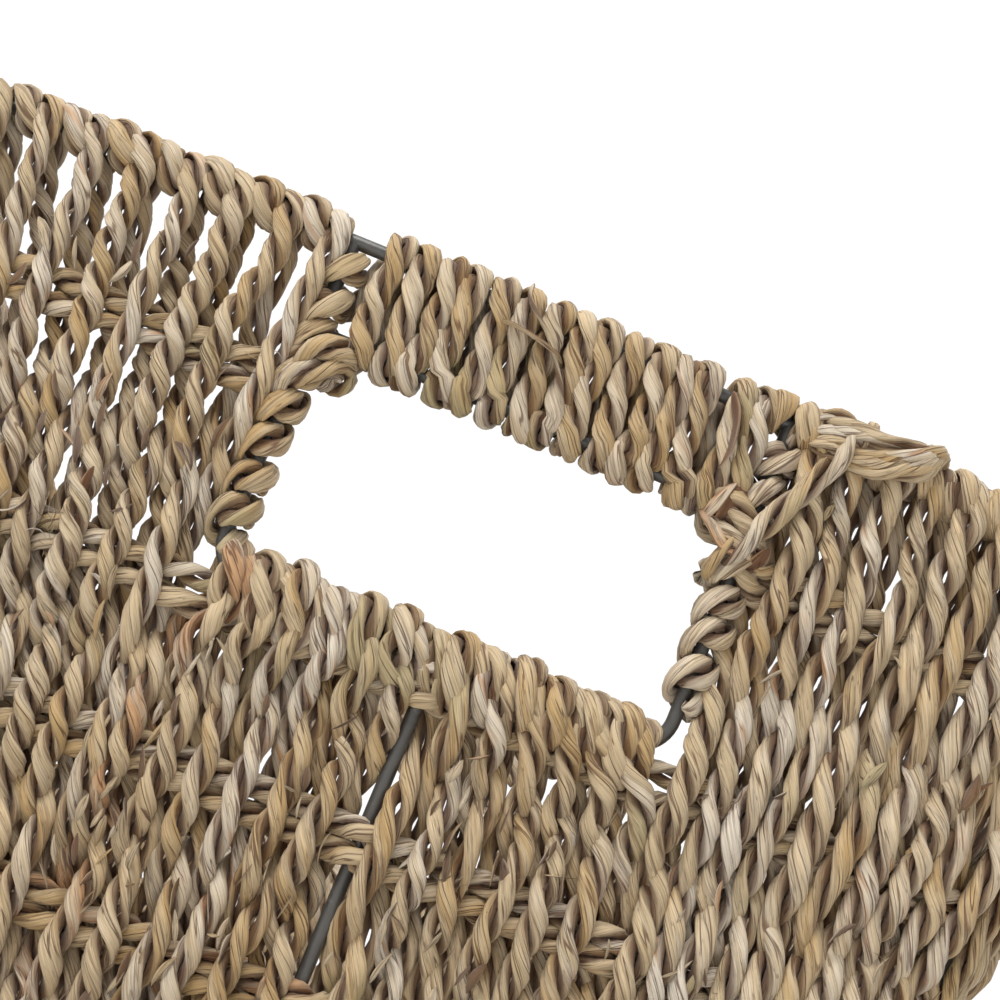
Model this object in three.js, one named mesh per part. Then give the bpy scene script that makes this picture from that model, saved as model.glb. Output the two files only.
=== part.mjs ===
// A seagrass storage basket: a welded steel-wire frame, woven and bound all over with twisted seagrass cord.
// Millimetres, +Z up. The origin is the middle of the underside, +X points out through the front handle end,
// and +Y through the left side. The walls lean out from the base to the rim and bow a little between corners.
import * as THREE from "three";

// Driving dimensions
const LENGTH = 470; // over the bound rim, end to end
const WIDTH = 400; // over the bound rim, side to side
const HEIGHT = 250; // from the floor to the top of the bound rim
const TAPER = 45; // how much further in each wall stands at the base than at the rim
const CORNER_RADIUS = 26; // of the rim wire
const END_BOW_RADIUS = 2600; // of the rim wire along an end
const SIDE_BOW_RADIUS = 3000; // of the rim wire along a side
const WIRE = 4; // wire diameter
const RIM_BINDING = 13; // diameter over the cord wound on the rim wire
const BASE_BINDING = 14; // diameter over the cord wound on the base wire
const WEAVE = 15; // thickness of the woven walls and base
const HANDLE_WIDTH = 130; // between the middles of a handle's side wires
const BAR_DROP = 27; // from the rim wire down to the bar under the grip
const HANDLE_DROP = 96; // from the rim wire down to the handle's lower wire
const HANDLE_BEND = 10; // bend radius of the handle wire
const SIDE_BINDING = 15; // diameter over the cord wound on a handle's side wire
const LOWER_BINDING = 16; // thickness over the cord wound on a handle's lower wire
const LOWER_DEPTH = 4.5; // how much taller that winding is, as it takes in the row of cord below the wire
const GAP = 0.3; // between neighbouring pieces
const BORE = WIRE + 1; // diameter of the hollow in a winding
const POST_SPACE = 3.5; // clear length of weave on each side of an upright wire's middle
const EDGE_SPACE = 1; // between the wall under a handle and the walls beside it

// Facets: sides of round sections, and steps along each arc of a quarter of the outline
const WIRE_SIDES = 8;
const BINDING_SIDES = 10;
const END_STEPS = 3;
const CORNER_STEPS = 6;
const SIDE_STEPS = 4;
const HANDLE_STEPS = 60;
const GRIP_STEPS = 4;
const LOWER_STEPS = 2;
const WALL_STEPS = 3;
const NEAREST_JOINT = 1; // between a joint between facets and the end of a piece
const ROUNDING = 1e-9; // for a length that should fall on the boundary of a quarter

// Worked out from the driving dimensions
const HALF_LENGTH = (LENGTH - RIM_BINDING) / 2; // of the rim wire
const HALF_WIDTH = (WIDTH - RIM_BINDING) / 2;
const RIM_Z = HEIGHT - RIM_BINDING / 2;
const BASE_Z = WEAVE / 2;
const BAR_Z = RIM_Z - BAR_DROP;
const LOWER_Z = RIM_Z - HANDLE_DROP;
const HALF_HANDLE = HANDLE_WIDTH / 2;
const WALL_BOTTOM = BASE_Z + BASE_BINDING / 2 + GAP;
const WALL_TOP = RIM_Z - RIM_BINDING / 2 - GAP;
const GRIP_END = HALF_HANDLE - SIDE_BINDING / 2 - GAP;
const HANDLE_EDGE = HALF_HANDLE + SIDE_BINDING / 2 + GAP; // where the wall beside a handle starts

// Materials
const STEEL = new THREE.MeshStandardMaterial({ color: 0x55534f, roughness: 0.45, metalness: 0.9 });
const SEAGRASS = new THREE.MeshStandardMaterial({ color: 0xa8966e, roughness: 0.8, metalness: 0 });
const BINDING = new THREE.MeshStandardMaterial({ color: 0xb3a17a, roughness: 0.78, metalness: 0 });

// The outline of the rim wire: four shallow arcs joined by tight ones. One quarter is worked out, and the
// others mirror it. cornerCentre is where a circle of CORNER_RADIUS touches the end arc and the side arc.
function cornerCentre() {
  const end = new THREE.Vector2(HALF_LENGTH - END_BOW_RADIUS, 0);
  const side = new THREE.Vector2(0, HALF_WIDTH - SIDE_BOW_RADIUS);
  const apart = side.clone().sub(end);
  const distance = apart.length();
  const toEnd = END_BOW_RADIUS - CORNER_RADIUS;
  const toSide = SIDE_BOW_RADIUS - CORNER_RADIUS;
  const along = (distance ** 2 + toEnd ** 2 - toSide ** 2) / (2 * distance);
  const across = Math.sqrt(toEnd ** 2 - along ** 2);
  const direction = apart.divideScalar(distance);
  const outward = new THREE.Vector2(-direction.y, direction.x);
  return end.add(direction.multiplyScalar(along)).add(outward.multiplyScalar(across));
}

const CORNER = cornerCentre();
const END_ANGLE = Math.atan2(CORNER.y, CORNER.x - HALF_LENGTH + END_BOW_RADIUS);
const SIDE_ANGLE = Math.atan2(CORNER.y - HALF_WIDTH + SIDE_BOW_RADIUS, CORNER.x);
const END_LENGTH = END_ANGLE * END_BOW_RADIUS;
const CORNER_LENGTH = (SIDE_ANGLE - END_ANGLE) * CORNER_RADIUS;
const SIDE_LENGTH = (Math.PI / 2 - SIDE_ANGLE) * SIDE_BOW_RADIUS;
const QUARTER = END_LENGTH + CORNER_LENGTH + SIDE_LENGTH;
const CORNER_POST = END_LENGTH + CORNER_LENGTH / 2;

// A point of the first quarter, at a length s from the middle of the end.
function quarterPoint(s) {
  let centre = new THREE.Vector2(HALF_LENGTH - END_BOW_RADIUS, 0);
  let radius = END_BOW_RADIUS;
  let angle = s / END_BOW_RADIUS;
  if (s > END_LENGTH + CORNER_LENGTH) {
    centre = new THREE.Vector2(0, HALF_WIDTH - SIDE_BOW_RADIUS);
    radius = SIDE_BOW_RADIUS;
    angle = SIDE_ANGLE + (s - END_LENGTH - CORNER_LENGTH) / radius;
  } else if (s > END_LENGTH) {
    centre = CORNER;
    radius = CORNER_RADIUS;
    angle = END_ANGLE + (s - END_LENGTH) / radius;
  }
  const normal = new THREE.Vector2(Math.cos(angle), Math.sin(angle));
  return { point: centre.clone().addScaledVector(normal, radius), normal };
}

// A point of the whole outline, at a length s from the middle of the front end towards the right side.
function outlinePoint(s) {
  const quarter = Math.min(Math.floor(s / QUARTER + ROUNDING), 3);
  const within = s - quarter * QUARTER;
  const { point, normal } = quarterPoint(quarter % 2 ? QUARTER - within : within);
  const sign = new THREE.Vector2(quarter === 0 || quarter === 3 ? 1 : -1, quarter < 2 ? -1 : 1);
  return { point: point.multiply(sign), normal: normal.multiply(sign) };
}

// The walls narrow evenly from the rim to the base.
function narrowing(z) {
  const inward = (TAPER * (RIM_Z - z)) / (RIM_Z - BASE_Z);
  return new THREE.Vector2(1 - inward / HALF_LENGTH, 1 - inward / HALF_WIDTH);
}

// The point of the wall at outline length s and height z, moved out by offset.
function wallPoint(s, offset, z) {
  const { point, normal } = outlinePoint(s);
  const place = point.multiply(narrowing(z)).addScaledVector(normal, offset);
  return new THREE.Vector3(place.x, place.y, z);
}

// The point of the front end wall at width y and height z, moved out by offset.
function endPoint(y, offset, z) {
  const scale = narrowing(z);
  const x = HALF_LENGTH - END_BOW_RADIUS + Math.sqrt(END_BOW_RADIUS ** 2 - (y / scale.y) ** 2);
  return new THREE.Vector3(x * scale.x + offset, y, z);
}

// The outline length at which the front wall is at width y, for a height z.
function lengthAt(y, z) {
  return END_BOW_RADIUS * Math.asin(y / narrowing(z).y / END_BOW_RADIUS);
}

// Section shapes, drawn with the offset from the wall to the right and the height upwards
function discShape(diameter, z, sides) {
  const points = [];
  for (let i = 0; i < sides; i += 1) {
    const angle = (2 * Math.PI * (i + 0.5)) / sides;
    const radius = diameter / 2;
    points.push(new THREE.Vector2(radius * Math.cos(angle), z + radius * Math.sin(angle)));
  }
  return new THREE.Shape(points);
}

function tubeShape(diameter, z) {
  const shape = discShape(diameter, z, BINDING_SIDES);
  shape.holes.push(discShape(BORE, z, WIRE_SIDES));
  return shape;
}

function slabShape(bottom, top) {
  const half = WEAVE / 2;
  const corners = [[-half, bottom], [half, bottom], [half, top], [-half, top]];
  return new THREE.Shape(corners.map(([x, y]) => new THREE.Vector2(x, y)));
}

// A winding that is taller than it is thick, round upper and lower, with a hollow for each of its wires
function ovalShape(thickness, upper, lower, wires) {
  const shape = new THREE.Shape();
  shape.absarc(0, upper, thickness / 2, 0, Math.PI);
  shape.absarc(0, lower, thickness / 2, Math.PI, 2 * Math.PI);
  shape.holes = wires.map((z) => discShape(BORE, z, WIRE_SIDES));
  return shape;
}

// The lengths at which every piece along the outline has its joints between facets
function outlineStations() {
  const arcs = [
    [END_LENGTH, END_STEPS],
    [CORNER_LENGTH, CORNER_STEPS],
    [SIDE_LENGTH, SIDE_STEPS],
  ];
  const stations = [];
  for (let quarter = 0; quarter < 4; quarter += 1) {
    let s = quarter * QUARTER;
    for (const [length, steps] of quarter % 2 ? [...arcs].reverse() : arcs) {
      for (let i = 0; i < steps; i += 1) stations.push(s + (length * i) / steps);
      s += length;
    }
  }
  return stations;
}

const STATIONS = outlineStations();

function stationsBetween(start, end) {
  const inside = (s) => s > start + NEAREST_JOINT && s < end - NEAREST_JOINT;
  return [start, ...STATIONS.filter(inside), end];
}

// Extrudes a section and puts each of its vertices where place says, from the station's value.
function sweep(shape, stations, place) {
  const steps = stations.length - 1;
  const options = { depth: steps, steps, bevelEnabled: false, curveSegments: BINDING_SIDES / 2 };
  const geometry = new THREE.ExtrudeGeometry(shape, options);
  const positions = geometry.getAttribute("position");
  for (let i = 0; i < positions.count; i += 1) {
    const station = stations[Math.round(positions.getZ(i))];
    const point = place(station, positions.getX(i), positions.getY(i));
    positions.setXYZ(i, point.x, point.y, point.z);
  }
  geometry.computeVertexNormals();
  return geometry;
}

function alongOutline(shape, start, end) {
  return sweep(shape, stationsBetween(start, end), wallPoint);
}

// A piece of the front end wall between two widths. It runs from +Y to -Y, as the outline does.
function acrossEnd(shape, start, end, steps) {
  const stations = Array.from({ length: steps + 1 }, (_, i) => start + ((end - start) * i) / steps);
  return sweep(shape, stations, (y, offset, z) => endPoint(-y, offset, z));
}

// Round wire or cord along a curve
function roundAlong(curve, shape, steps) {
  const geometry = new THREE.ExtrudeGeometry(shape, { extrudePath: curve, steps });
  geometry.computeVertexNormals();
  return geometry;
}

function straightWire(from, to) {
  return roundAlong(new THREE.LineCurve3(from, to), discShape(WIRE, 0, WIRE_SIDES), 1);
}

// A flat path of widths and heights, laid on the front end wall
class EndWallCurve extends THREE.Curve {
  constructor(path) {
    super();
    this.path = path;
  }

  getPoint(t) {
    const flat = this.path.getPointAt(t);
    return endPoint(flat.x, 0, flat.y);
  }
}

function handlePath() {
  const top = RIM_Z - WIRE / 2 - GAP;
  const inner = HALF_HANDLE - HANDLE_BEND;
  const bendZ = LOWER_Z + HANDLE_BEND;
  const path = new THREE.Path();
  path.moveTo(-HALF_HANDLE, top);
  path.lineTo(-HALF_HANDLE, bendZ);
  path.absarc(-inner, bendZ, HANDLE_BEND, Math.PI, 1.5 * Math.PI, false);
  path.lineTo(inner, LOWER_Z);
  path.absarc(inner, bendZ, HANDLE_BEND, 1.5 * Math.PI, 2 * Math.PI, false);
  path.lineTo(HALF_HANDLE, top);
  return path;
}

function add(group, name, geometry, material) {
  const mesh = new THREE.Mesh(geometry, material);
  mesh.name = name;
  group.add(mesh);
}

// The two wire rings, each bent round and butted at the middle of the front end
function addRings(group) {
  const end = 4 * QUARTER - GAP;
  add(group, "rim_wire", alongOutline(discShape(WIRE, RIM_Z, WIRE_SIDES), 0, end), STEEL);
  add(group, "base_wire", alongOutline(discShape(WIRE, BASE_Z, WIRE_SIDES), 0, end), STEEL);
}

// An upright stops just above the base wire and just below the wire it hangs from.
function uprightWire(s, topZ) {
  const clear = WIRE / 2 + GAP;
  return straightWire(wallPoint(s, 0, BASE_Z + clear), wallPoint(s, 0, topZ - clear));
}

function addPosts(group) {
  const corners = ["front_right", "back_right", "back_left", "front_left"];
  const lengths = [CORNER_POST, 2 * QUARTER - CORNER_POST];
  corners.forEach((corner, i) => {
    const s = lengths[i % 2] + (i < 2 ? 0 : 2 * QUARTER);
    add(group, `corner_post_${corner}`, uprightWire(s, RIM_Z), STEEL);
  });
  add(group, "side_post_right", uprightWire(QUARTER, RIM_Z), STEEL);
  add(group, "side_post_left", uprightWire(3 * QUARTER, RIM_Z), STEEL);
}

// The wires that stiffen the base: the cross wire lies on the long one.
function addBraces(group) {
  const clear = WIRE / 2 + GAP;
  const inX = HALF_LENGTH - TAPER - clear;
  const inY = HALF_WIDTH - TAPER - clear;
  const low = BASE_Z - clear / 2 - GAP / 2;
  const high = low + WIRE + GAP;
  const long = straightWire(new THREE.Vector3(-inX, 0, low), new THREE.Vector3(inX, 0, low));
  const cross = straightWire(new THREE.Vector3(0, -inY, high), new THREE.Vector3(0, inY, high));
  add(group, "base_brace_long", long, STEEL);
  add(group, "base_brace_cross", cross, STEEL);
}

// The eight stretches of the outline between posts, in its own order. fromEnd is how far from the middle of
// an end the first stretch starts.
function stretches(fromEnd) {
  const half = 2 * QUARTER;
  const names = {
    front_right: [fromEnd, CORNER_POST],
    right_front: [CORNER_POST, QUARTER],
    right_back: [QUARTER, half - CORNER_POST],
    back_right: [half - CORNER_POST, half - fromEnd],
    back_left: [half + fromEnd, half + CORNER_POST],
    left_back: [half + CORNER_POST, half + QUARTER],
    left_front: [half + QUARTER, 2 * half - CORNER_POST],
    front_left: [2 * half - CORNER_POST, 2 * half - fromEnd],
  };
  return Object.entries(names).map(([name, [start, end]]) => ({
    name,
    start: start + POST_SPACE,
    end: end - POST_SPACE,
  }));
}

// A stretch of weave between the edge beside the handle, which is upright, and the corner post
function wallBesideHandle() {
  const stations = stationsBetween(lengthAt(HANDLE_EDGE, RIM_Z), CORNER_POST - POST_SPACE);
  const first = stations[0];
  const last = stations[stations.length - 1];
  return sweep(slabShape(WALL_BOTTOM, WALL_TOP), stations, (s, offset, z) => {
    const edge = lengthAt(HANDLE_EDGE, z);
    const share = (s - first) / (last - first);
    return wallPoint(edge + (last - edge) * share, offset, z);
  });
}

// Mirrors a closed geometry in the plane y = 0 or x = 0, and turns its faces the right way round again.
function mirrored(geometry, x, y) {
  const copy = geometry.clone().scale(x, y, 1);
  if (x * y > 0) return copy;
  const positions = copy.getAttribute("position");
  for (let i = 0; i < positions.count; i += 3) {
    const first = new THREE.Vector3().fromBufferAttribute(positions, i);
    const second = new THREE.Vector3().fromBufferAttribute(positions, i + 1);
    positions.setXYZ(i, second.x, second.y, second.z);
    positions.setXYZ(i + 1, first.x, first.y, first.z);
  }
  copy.computeVertexNormals();
  return copy;
}

function addWalls(group) {
  const beside = wallBesideHandle();
  add(group, "wall_front_right", beside, SEAGRASS);
  add(group, "wall_front_left", mirrored(beside, 1, -1), SEAGRASS);
  add(group, "wall_back_right", mirrored(beside, -1, 1), SEAGRASS);
  add(group, "wall_back_left", mirrored(beside, -1, -1), SEAGRASS);
  const sides = stretches(0).filter(({ name }) => /^(left|right)/.test(name));
  for (const { name, start, end } of sides) {
    add(group, `wall_${name}`, alongOutline(slabShape(WALL_BOTTOM, WALL_TOP), start, end), SEAGRASS);
  }
}

function addBindings(group) {
  for (const { name, start, end } of stretches(lengthAt(HALF_HANDLE, RIM_Z))) {
    add(group, `rim_binding_${name}`, alongOutline(tubeShape(RIM_BINDING, RIM_Z), start, end), BINDING);
  }
  for (const { name, start, end } of stretches(0)) {
    add(group, `base_binding_${name}`, alongOutline(tubeShape(BASE_BINDING, BASE_Z), start, end), BINDING);
  }
}

// One quarter of the woven base, between the two braces and the bound base wire
function baseQuarter() {
  const scale = narrowing(BASE_Z);
  const inset = BASE_BINDING / 2 + GAP;
  const points = [new THREE.Vector2(POST_SPACE, POST_SPACE)];
  for (const s of [0, ...STATIONS.filter((value) => value > 0 && value < QUARTER), QUARTER]) {
    const { point, normal } = quarterPoint(s);
    const place = point.multiply(scale).addScaledVector(normal, -inset);
    points.push(new THREE.Vector2(Math.max(place.x, POST_SPACE), Math.max(place.y, POST_SPACE)));
  }
  return new THREE.ExtrudeGeometry(new THREE.Shape(points), { depth: WEAVE, bevelEnabled: false });
}

function addBase(group) {
  const quarter = baseQuarter();
  const corners = { front_left: [1, 1], front_right: [1, -1], back_right: [-1, -1], back_left: [-1, 1] };
  for (const [name, [x, y]] of Object.entries(corners)) {
    add(group, `base_weave_${name}`, mirrored(quarter, x, y), SEAGRASS);
  }
}

// Everything at one handle end, built for the front and turned half round for the back. sides holds the
// names of the basket's sides that its +Y and -Y parts are on.
function handleEnd(name, sides) {
  const group = new THREE.Group();
  const disc = discShape(WIRE, 0, WIRE_SIDES);
  add(group, `handle_wire_${name}`, roundAlong(new EndWallCurve(handlePath()), disc, HANDLE_STEPS), STEEL);
  const bar = acrossEnd(discShape(WIRE, BAR_Z, WIRE_SIDES), -GRIP_END, GRIP_END, GRIP_STEPS);
  add(group, `handle_bar_${name}`, bar, STEEL);
  const grip = ovalShape(RIM_BINDING, RIM_Z, BAR_Z, [RIM_Z, BAR_Z]);
  add(group, `grip_${name}`, acrossEnd(grip, -GRIP_END, GRIP_END, GRIP_STEPS), BINDING);
  const post = straightWire(
    endPoint(0, 0, BASE_Z + WIRE / 2 + GAP),
    endPoint(0, 0, LOWER_Z - WIRE / 2 - GAP),
  );
  add(group, `end_post_${name}`, post, STEEL);
  addHandleBindings(group, name, sides);
  addWallUnderHandle(group, name, sides);
  return group;
}

function addHandleBindings(group, name, sides) {
  const lowerEnd = HALF_HANDLE - HANDLE_BEND - WIRE;
  const postSpace = WIRE / 2 + 2 * GAP;
  const lower = ovalShape(LOWER_BINDING, LOWER_Z, LOWER_Z - LOWER_DEPTH, [LOWER_Z]);
  const bottom = LOWER_Z + HANDLE_BEND + GAP;
  const top = RIM_Z - RIM_BINDING / 2 - GAP;
  const spans = [[-lowerEnd, -postSpace], [postSpace, lowerEnd]];
  sides.forEach((side, i) => {
    add(group, `lower_binding_${name}_${side}`, acrossEnd(lower, ...spans[i], LOWER_STEPS), BINDING);
    const y = i === 0 ? HALF_HANDLE : -HALF_HANDLE;
    const line = new THREE.LineCurve3(endPoint(y, 0, bottom), endPoint(y, 0, top));
    add(group, `side_binding_${name}_${side}`, roundAlong(line, tubeShape(SIDE_BINDING, 0), 1), BINDING);
  });
}

function addWallUnderHandle(group, name, sides) {
  const top = LOWER_Z - LOWER_DEPTH - LOWER_BINDING / 2 - GAP;
  const edge = HANDLE_EDGE - EDGE_SPACE;
  const spans = [[-edge, -POST_SPACE], [POST_SPACE, edge]];
  sides.forEach((side, i) => {
    const wall = acrossEnd(slabShape(WALL_BOTTOM, top), ...spans[i], WALL_STEPS);
    add(group, `wall_${name}_lower_${side}`, wall, SEAGRASS);
  });
}

function buildBasket() {
  const basket = new THREE.Group();
  addRings(basket);
  addPosts(basket);
  addBraces(basket);
  addWalls(basket);
  addBindings(basket);
  addBase(basket);
  const front = handleEnd("front", ["left", "right"]);
  const back = handleEnd("back", ["right", "left"]);
  back.rotation.z = Math.PI;
  basket.add(front, back);
  return basket;
}

export default buildBasket();
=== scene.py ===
"""A seagrass storage basket: two-ply cord woven and wound on a welded steel-wire frame.

The sizes come from the frame's wires. Routes are worked out on the wall, with a length along the outline, a
distance out from the wall and a height, all in millimetres, and become metres when a mesh is made.
"""

import logging
import math
from dataclasses import dataclass
from enum import Enum

import bpy
import numpy as np
from mathutils import Matrix, Vector


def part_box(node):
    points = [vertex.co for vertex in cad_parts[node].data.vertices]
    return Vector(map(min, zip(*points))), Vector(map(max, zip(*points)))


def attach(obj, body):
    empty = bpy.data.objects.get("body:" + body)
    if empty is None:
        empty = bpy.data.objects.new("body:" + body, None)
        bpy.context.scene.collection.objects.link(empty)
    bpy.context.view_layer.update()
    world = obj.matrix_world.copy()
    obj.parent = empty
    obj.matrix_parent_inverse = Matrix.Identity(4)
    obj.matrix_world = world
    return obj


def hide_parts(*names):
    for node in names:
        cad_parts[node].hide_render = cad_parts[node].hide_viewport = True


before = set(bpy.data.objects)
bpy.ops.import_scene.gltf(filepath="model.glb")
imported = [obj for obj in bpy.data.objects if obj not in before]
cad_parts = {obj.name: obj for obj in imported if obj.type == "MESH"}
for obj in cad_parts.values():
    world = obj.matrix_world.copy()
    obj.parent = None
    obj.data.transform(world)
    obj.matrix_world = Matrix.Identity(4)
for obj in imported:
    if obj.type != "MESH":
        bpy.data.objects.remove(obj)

LOG = logging.getLogger("basket")
Array = np.ndarray
Material = bpy.types.Material
Piece = bpy.types.Object
Two = tuple[float, float]
METRES = 0.001  # in a millimetre
WIRE_RADIUS = 2.0


class Slot(Enum):
    """The record's material slots."""

    WIRE = "wire_frame"
    WEAVE = "seagrass_weave"
    BINDING = "seagrass_binding"


@dataclass(frozen=True)
class FrameSize:
    """Where the middles of the welded wires run, in millimetres.

    The two bow radii and the corner radius are how the rim wire is bent.
    """

    half_length: float
    half_width: float
    rim_z: float
    base_z: float
    taper: float
    bar_z: float
    lower_z: float
    half_handle: float
    end_bow: float = 2600.0
    side_bow: float = 3000.0
    corner: float = 26.0
    handle_bend: float = 10.0

    @classmethod
    def from_frame(cls) -> "FrameSize":
        """Reads the sizes off the boxes of the CAD's wires."""
        rim_low, rim_high = (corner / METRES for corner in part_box("rim_wire"))
        base_low, base_high = (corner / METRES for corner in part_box("base_wire"))
        handle_low, handle_high = (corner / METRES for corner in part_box("handle_wire_front"))
        bar_low, bar_high = (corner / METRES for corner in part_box("handle_bar_front"))
        return cls(
            half_length=rim_high.x - WIRE_RADIUS,
            half_width=rim_high.y - WIRE_RADIUS,
            rim_z=(rim_low.z + rim_high.z) / 2,
            base_z=(base_low.z + base_high.z) / 2,
            taper=rim_high.x - base_high.x,
            bar_z=(bar_low.z + bar_high.z) / 2,
            lower_z=handle_low.z + WIRE_RADIUS,
            half_handle=handle_high.y - WIRE_RADIUS,
        )


class Wall:
    """The leaning wall: turns lengths along the outline, distances out and heights into points.

    A length is 0 at the middle of the front end and grows towards the right side. The outline is four shallow
    arcs joined by tight ones, and one quarter of it is mirrored into the other three.
    """

    def __init__(self, size: FrameSize) -> None:
        """Works out the arcs of one quarter from the frame's size."""
        self.size = size
        end = np.array([size.half_length - size.end_bow, 0.0])
        side = np.array([0.0, size.half_width - size.side_bow])
        corner = self._corner_centre(end, side)
        self.centres = np.array([end, corner, side])
        self.radii = np.array([size.end_bow, size.corner, size.side_bow])
        end_angle = math.atan2(corner[1], corner[0] - end[0])
        side_angle = math.atan2(corner[1] - side[1], corner[0])
        self.angles = np.array([0.0, end_angle, side_angle])
        lengths = np.diff([0.0, end_angle, side_angle, math.pi / 2]) * self.radii
        self.starts = np.array([0.0, lengths[0], lengths[0] + lengths[1]])
        self.quarter = float(lengths.sum())
        self.half = 2 * self.quarter
        self.around = 4 * self.quarter
        self.corner_post = float(lengths[0] + lengths[1] / 2)

    def _corner_centre(self, end: Array, side: Array) -> Array:
        """Where the corner arc is centred, so that it touches the end arc and the side arc."""
        apart = side - end
        distance = np.hypot(*apart)
        to_end = self.size.end_bow - self.size.corner
        to_side = self.size.side_bow - self.size.corner
        along = (distance**2 + to_end**2 - to_side**2) / (2 * distance)
        across = math.sqrt(to_end**2 - along**2)
        x, y = apart / distance
        return end + along * np.array([x, y]) + across * np.array([-y, x])

    def outline(self, length: Array) -> tuple[Array, Array]:
        """The rim wire's points at these lengths, and the outward normals there, both flat."""
        length = np.mod(length, self.around)
        quarter = np.minimum(length // self.quarter, 3).astype(int)
        within = length - quarter * self.quarter
        within = np.where(quarter % 2 == 1, self.quarter - within, within)
        arc = np.searchsorted(self.starts, within, side="right") - 1
        arc = np.clip(arc, 0, 2)
        angle = self.angles[arc] + (within - self.starts[arc]) / self.radii[arc]
        normal = np.stack([np.cos(angle), np.sin(angle)], axis=-1)
        point = self.centres[arc] + normal * self.radii[arc][..., None]
        front = (quarter == 0) | (quarter == 3)
        sign = np.stack([np.where(front, 1, -1), np.where(quarter < 2, -1, 1)], axis=-1)
        return point * sign, normal * sign

    def narrowing(self, z: Array) -> Array:
        """How much the outline is scaled along X and Y at a height."""
        size = self.size
        inward = size.taper * (size.rim_z - np.asarray(z)) / (size.rim_z - size.base_z)
        return np.stack([1 - inward / size.half_length, 1 - inward / size.half_width], axis=-1)

    def place(self, route: Array) -> Array:
        """Points in the basket's frame for rows of length, distance out and height."""
        point, normal = self.outline(route[:, 0])
        flat = point * self.narrowing(route[:, 2]) + normal * route[:, 1:2]
        return np.column_stack([flat, route[:, 2]])

    def turn(self, length: Array, facing: Array) -> Array:
        """Turns directions given as along, out and up at these lengths into the basket's frame."""
        _, normal = self.outline(length)
        along = np.column_stack([normal[:, 1], -normal[:, 0]])
        flat = along * facing[:, 0:1] + normal * facing[:, 1:2]
        return np.column_stack([flat, facing[:, 2]])

    def length_at(self, width: float, z: Array) -> Array:
        """How far along an end wall a width from its middle is, at a height."""
        return self.size.end_bow * np.arcsin(width / self.narrowing(z)[..., 1] / self.size.end_bow)


def facing_at(angle: Array) -> Array:
    """Directions as along, out and up, for angles round a wire that runs along the wall."""
    return np.column_stack([np.zeros_like(angle), np.cos(angle), np.sin(angle)])


def smooth(share: Array) -> Array:
    """An even start and stop between 0 and 1."""
    share = np.clip(share, 0, 1)
    return share * share * (3 - 2 * share)


def between(at: Array, knots: list[Two], rest: float) -> Array:
    """Runs smoothly through knots of place and value.

    Args:
        at: Where the values are wanted.
        knots: Places in rising order, each with its value.
        rest: How far on each side of a knot the value holds.

    Returns:
        The value at each place.
    """
    places = np.array([place for place, _ in knots])
    values = np.array([value for _, value in knots])
    i = np.clip(np.searchsorted(places, at) - 1, 0, len(knots) - 2)
    hold = np.minimum(rest, 0.4 * (places[i + 1] - places[i]))
    share = (at - places[i] - hold) / (places[i + 1] - places[i] - 2 * hold)
    return values[i] + (values[i + 1] - values[i]) * smooth(share)


def wander(at: Array, rng: np.random.Generator, period: float, size: float) -> Array:
    """A slow random drift along a route, of about that size."""
    total = np.zeros_like(at, dtype=float)
    for octave in (1.0, 1.7, 2.9):
        phase = rng.uniform(0, 2 * math.pi)
        total += np.sin(at * 2 * math.pi * octave / period + phase) / octave
    return total * size * 0.6


def curved(knots: Array, steps: int) -> Array:
    """A smooth line through points, with so many steps between each two."""
    padded = np.vstack([2 * knots[0] - knots[1], knots, 2 * knots[-1] - knots[-2]])
    share = np.linspace(0, 1, steps, endpoint=False)[:, None]
    parts = []
    for before, start, end, after in zip(padded, padded[1:], padded[2:], padded[3:]):
        bend = 2 * before - 5 * start + 4 * end - after
        twist = 3 * start - before - 3 * end + after
        parts.append(start + 0.5 * ((end - before) * share + bend * share**2 + twist * share**3))
    return np.vstack(parts + [knots[-1:]])


@dataclass(frozen=True)
class CordKind:
    """A two-ply cord and how finely it is modelled, in millimetres."""

    sides: int
    step: float
    offset: float = 1.8
    depth: float = 1.75
    width: float = 2.7
    lay: float = 25.0
    plies: int = 2
    folds: int = 0


FINE = CordKind(sides=14, step=1.7, folds=5)
PLAIN = CordKind(sides=7, step=2.2)
HIDDEN = CordKind(sides=6, step=3.0)
LEAF = CordKind(sides=6, step=1.6, offset=0.0, depth=0.4, width=1.7, lay=70.0, plies=1)
STRAP = CordKind(sides=12, step=1.2, offset=0.0, depth=0.7, width=2.6, lay=400.0, plies=1)
STRING = CordKind(sides=8, step=1.2, offset=0.0, depth=0.6, width=0.8, lay=20.0, plies=1)
WISP = CordKind(sides=4, step=1.8, offset=0.0, depth=0.15, width=0.2, lay=60.0, plies=1)
BROWNED = 1.5  # strand value of a browned blade


@dataclass(frozen=True)
class PlyShape:
    """A ply's section and how uneven it is, as shares of its size unless said otherwise.

    pointed is the power of its rounded section, where 2 would be an ellipse and 1 a diamond. A drift is a
    period along the cord in millimetres and the size of the change.
    """

    pointed: float = 1.6
    lobes: tuple[tuple[int, float], ...] = ((2, 0.06), (3, 0.06))
    lobe_drift: Two = (60.0, 1.6)
    fold_depth: float = 0.17
    fold_width: float = 0.32
    fold_drift: Two = (80.0, 1.1)
    tip: float = 0.12
    tip_length: float = 5.0
    girth_spread: float = 0.05
    girth_drift: Two = (34.0, 0.09)
    apart_drift: Two = (31.0, 0.14)
    turn_drift: Two = (95.0, 0.55)
    bulge: float = 0.35


PLY = PlyShape()


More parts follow.
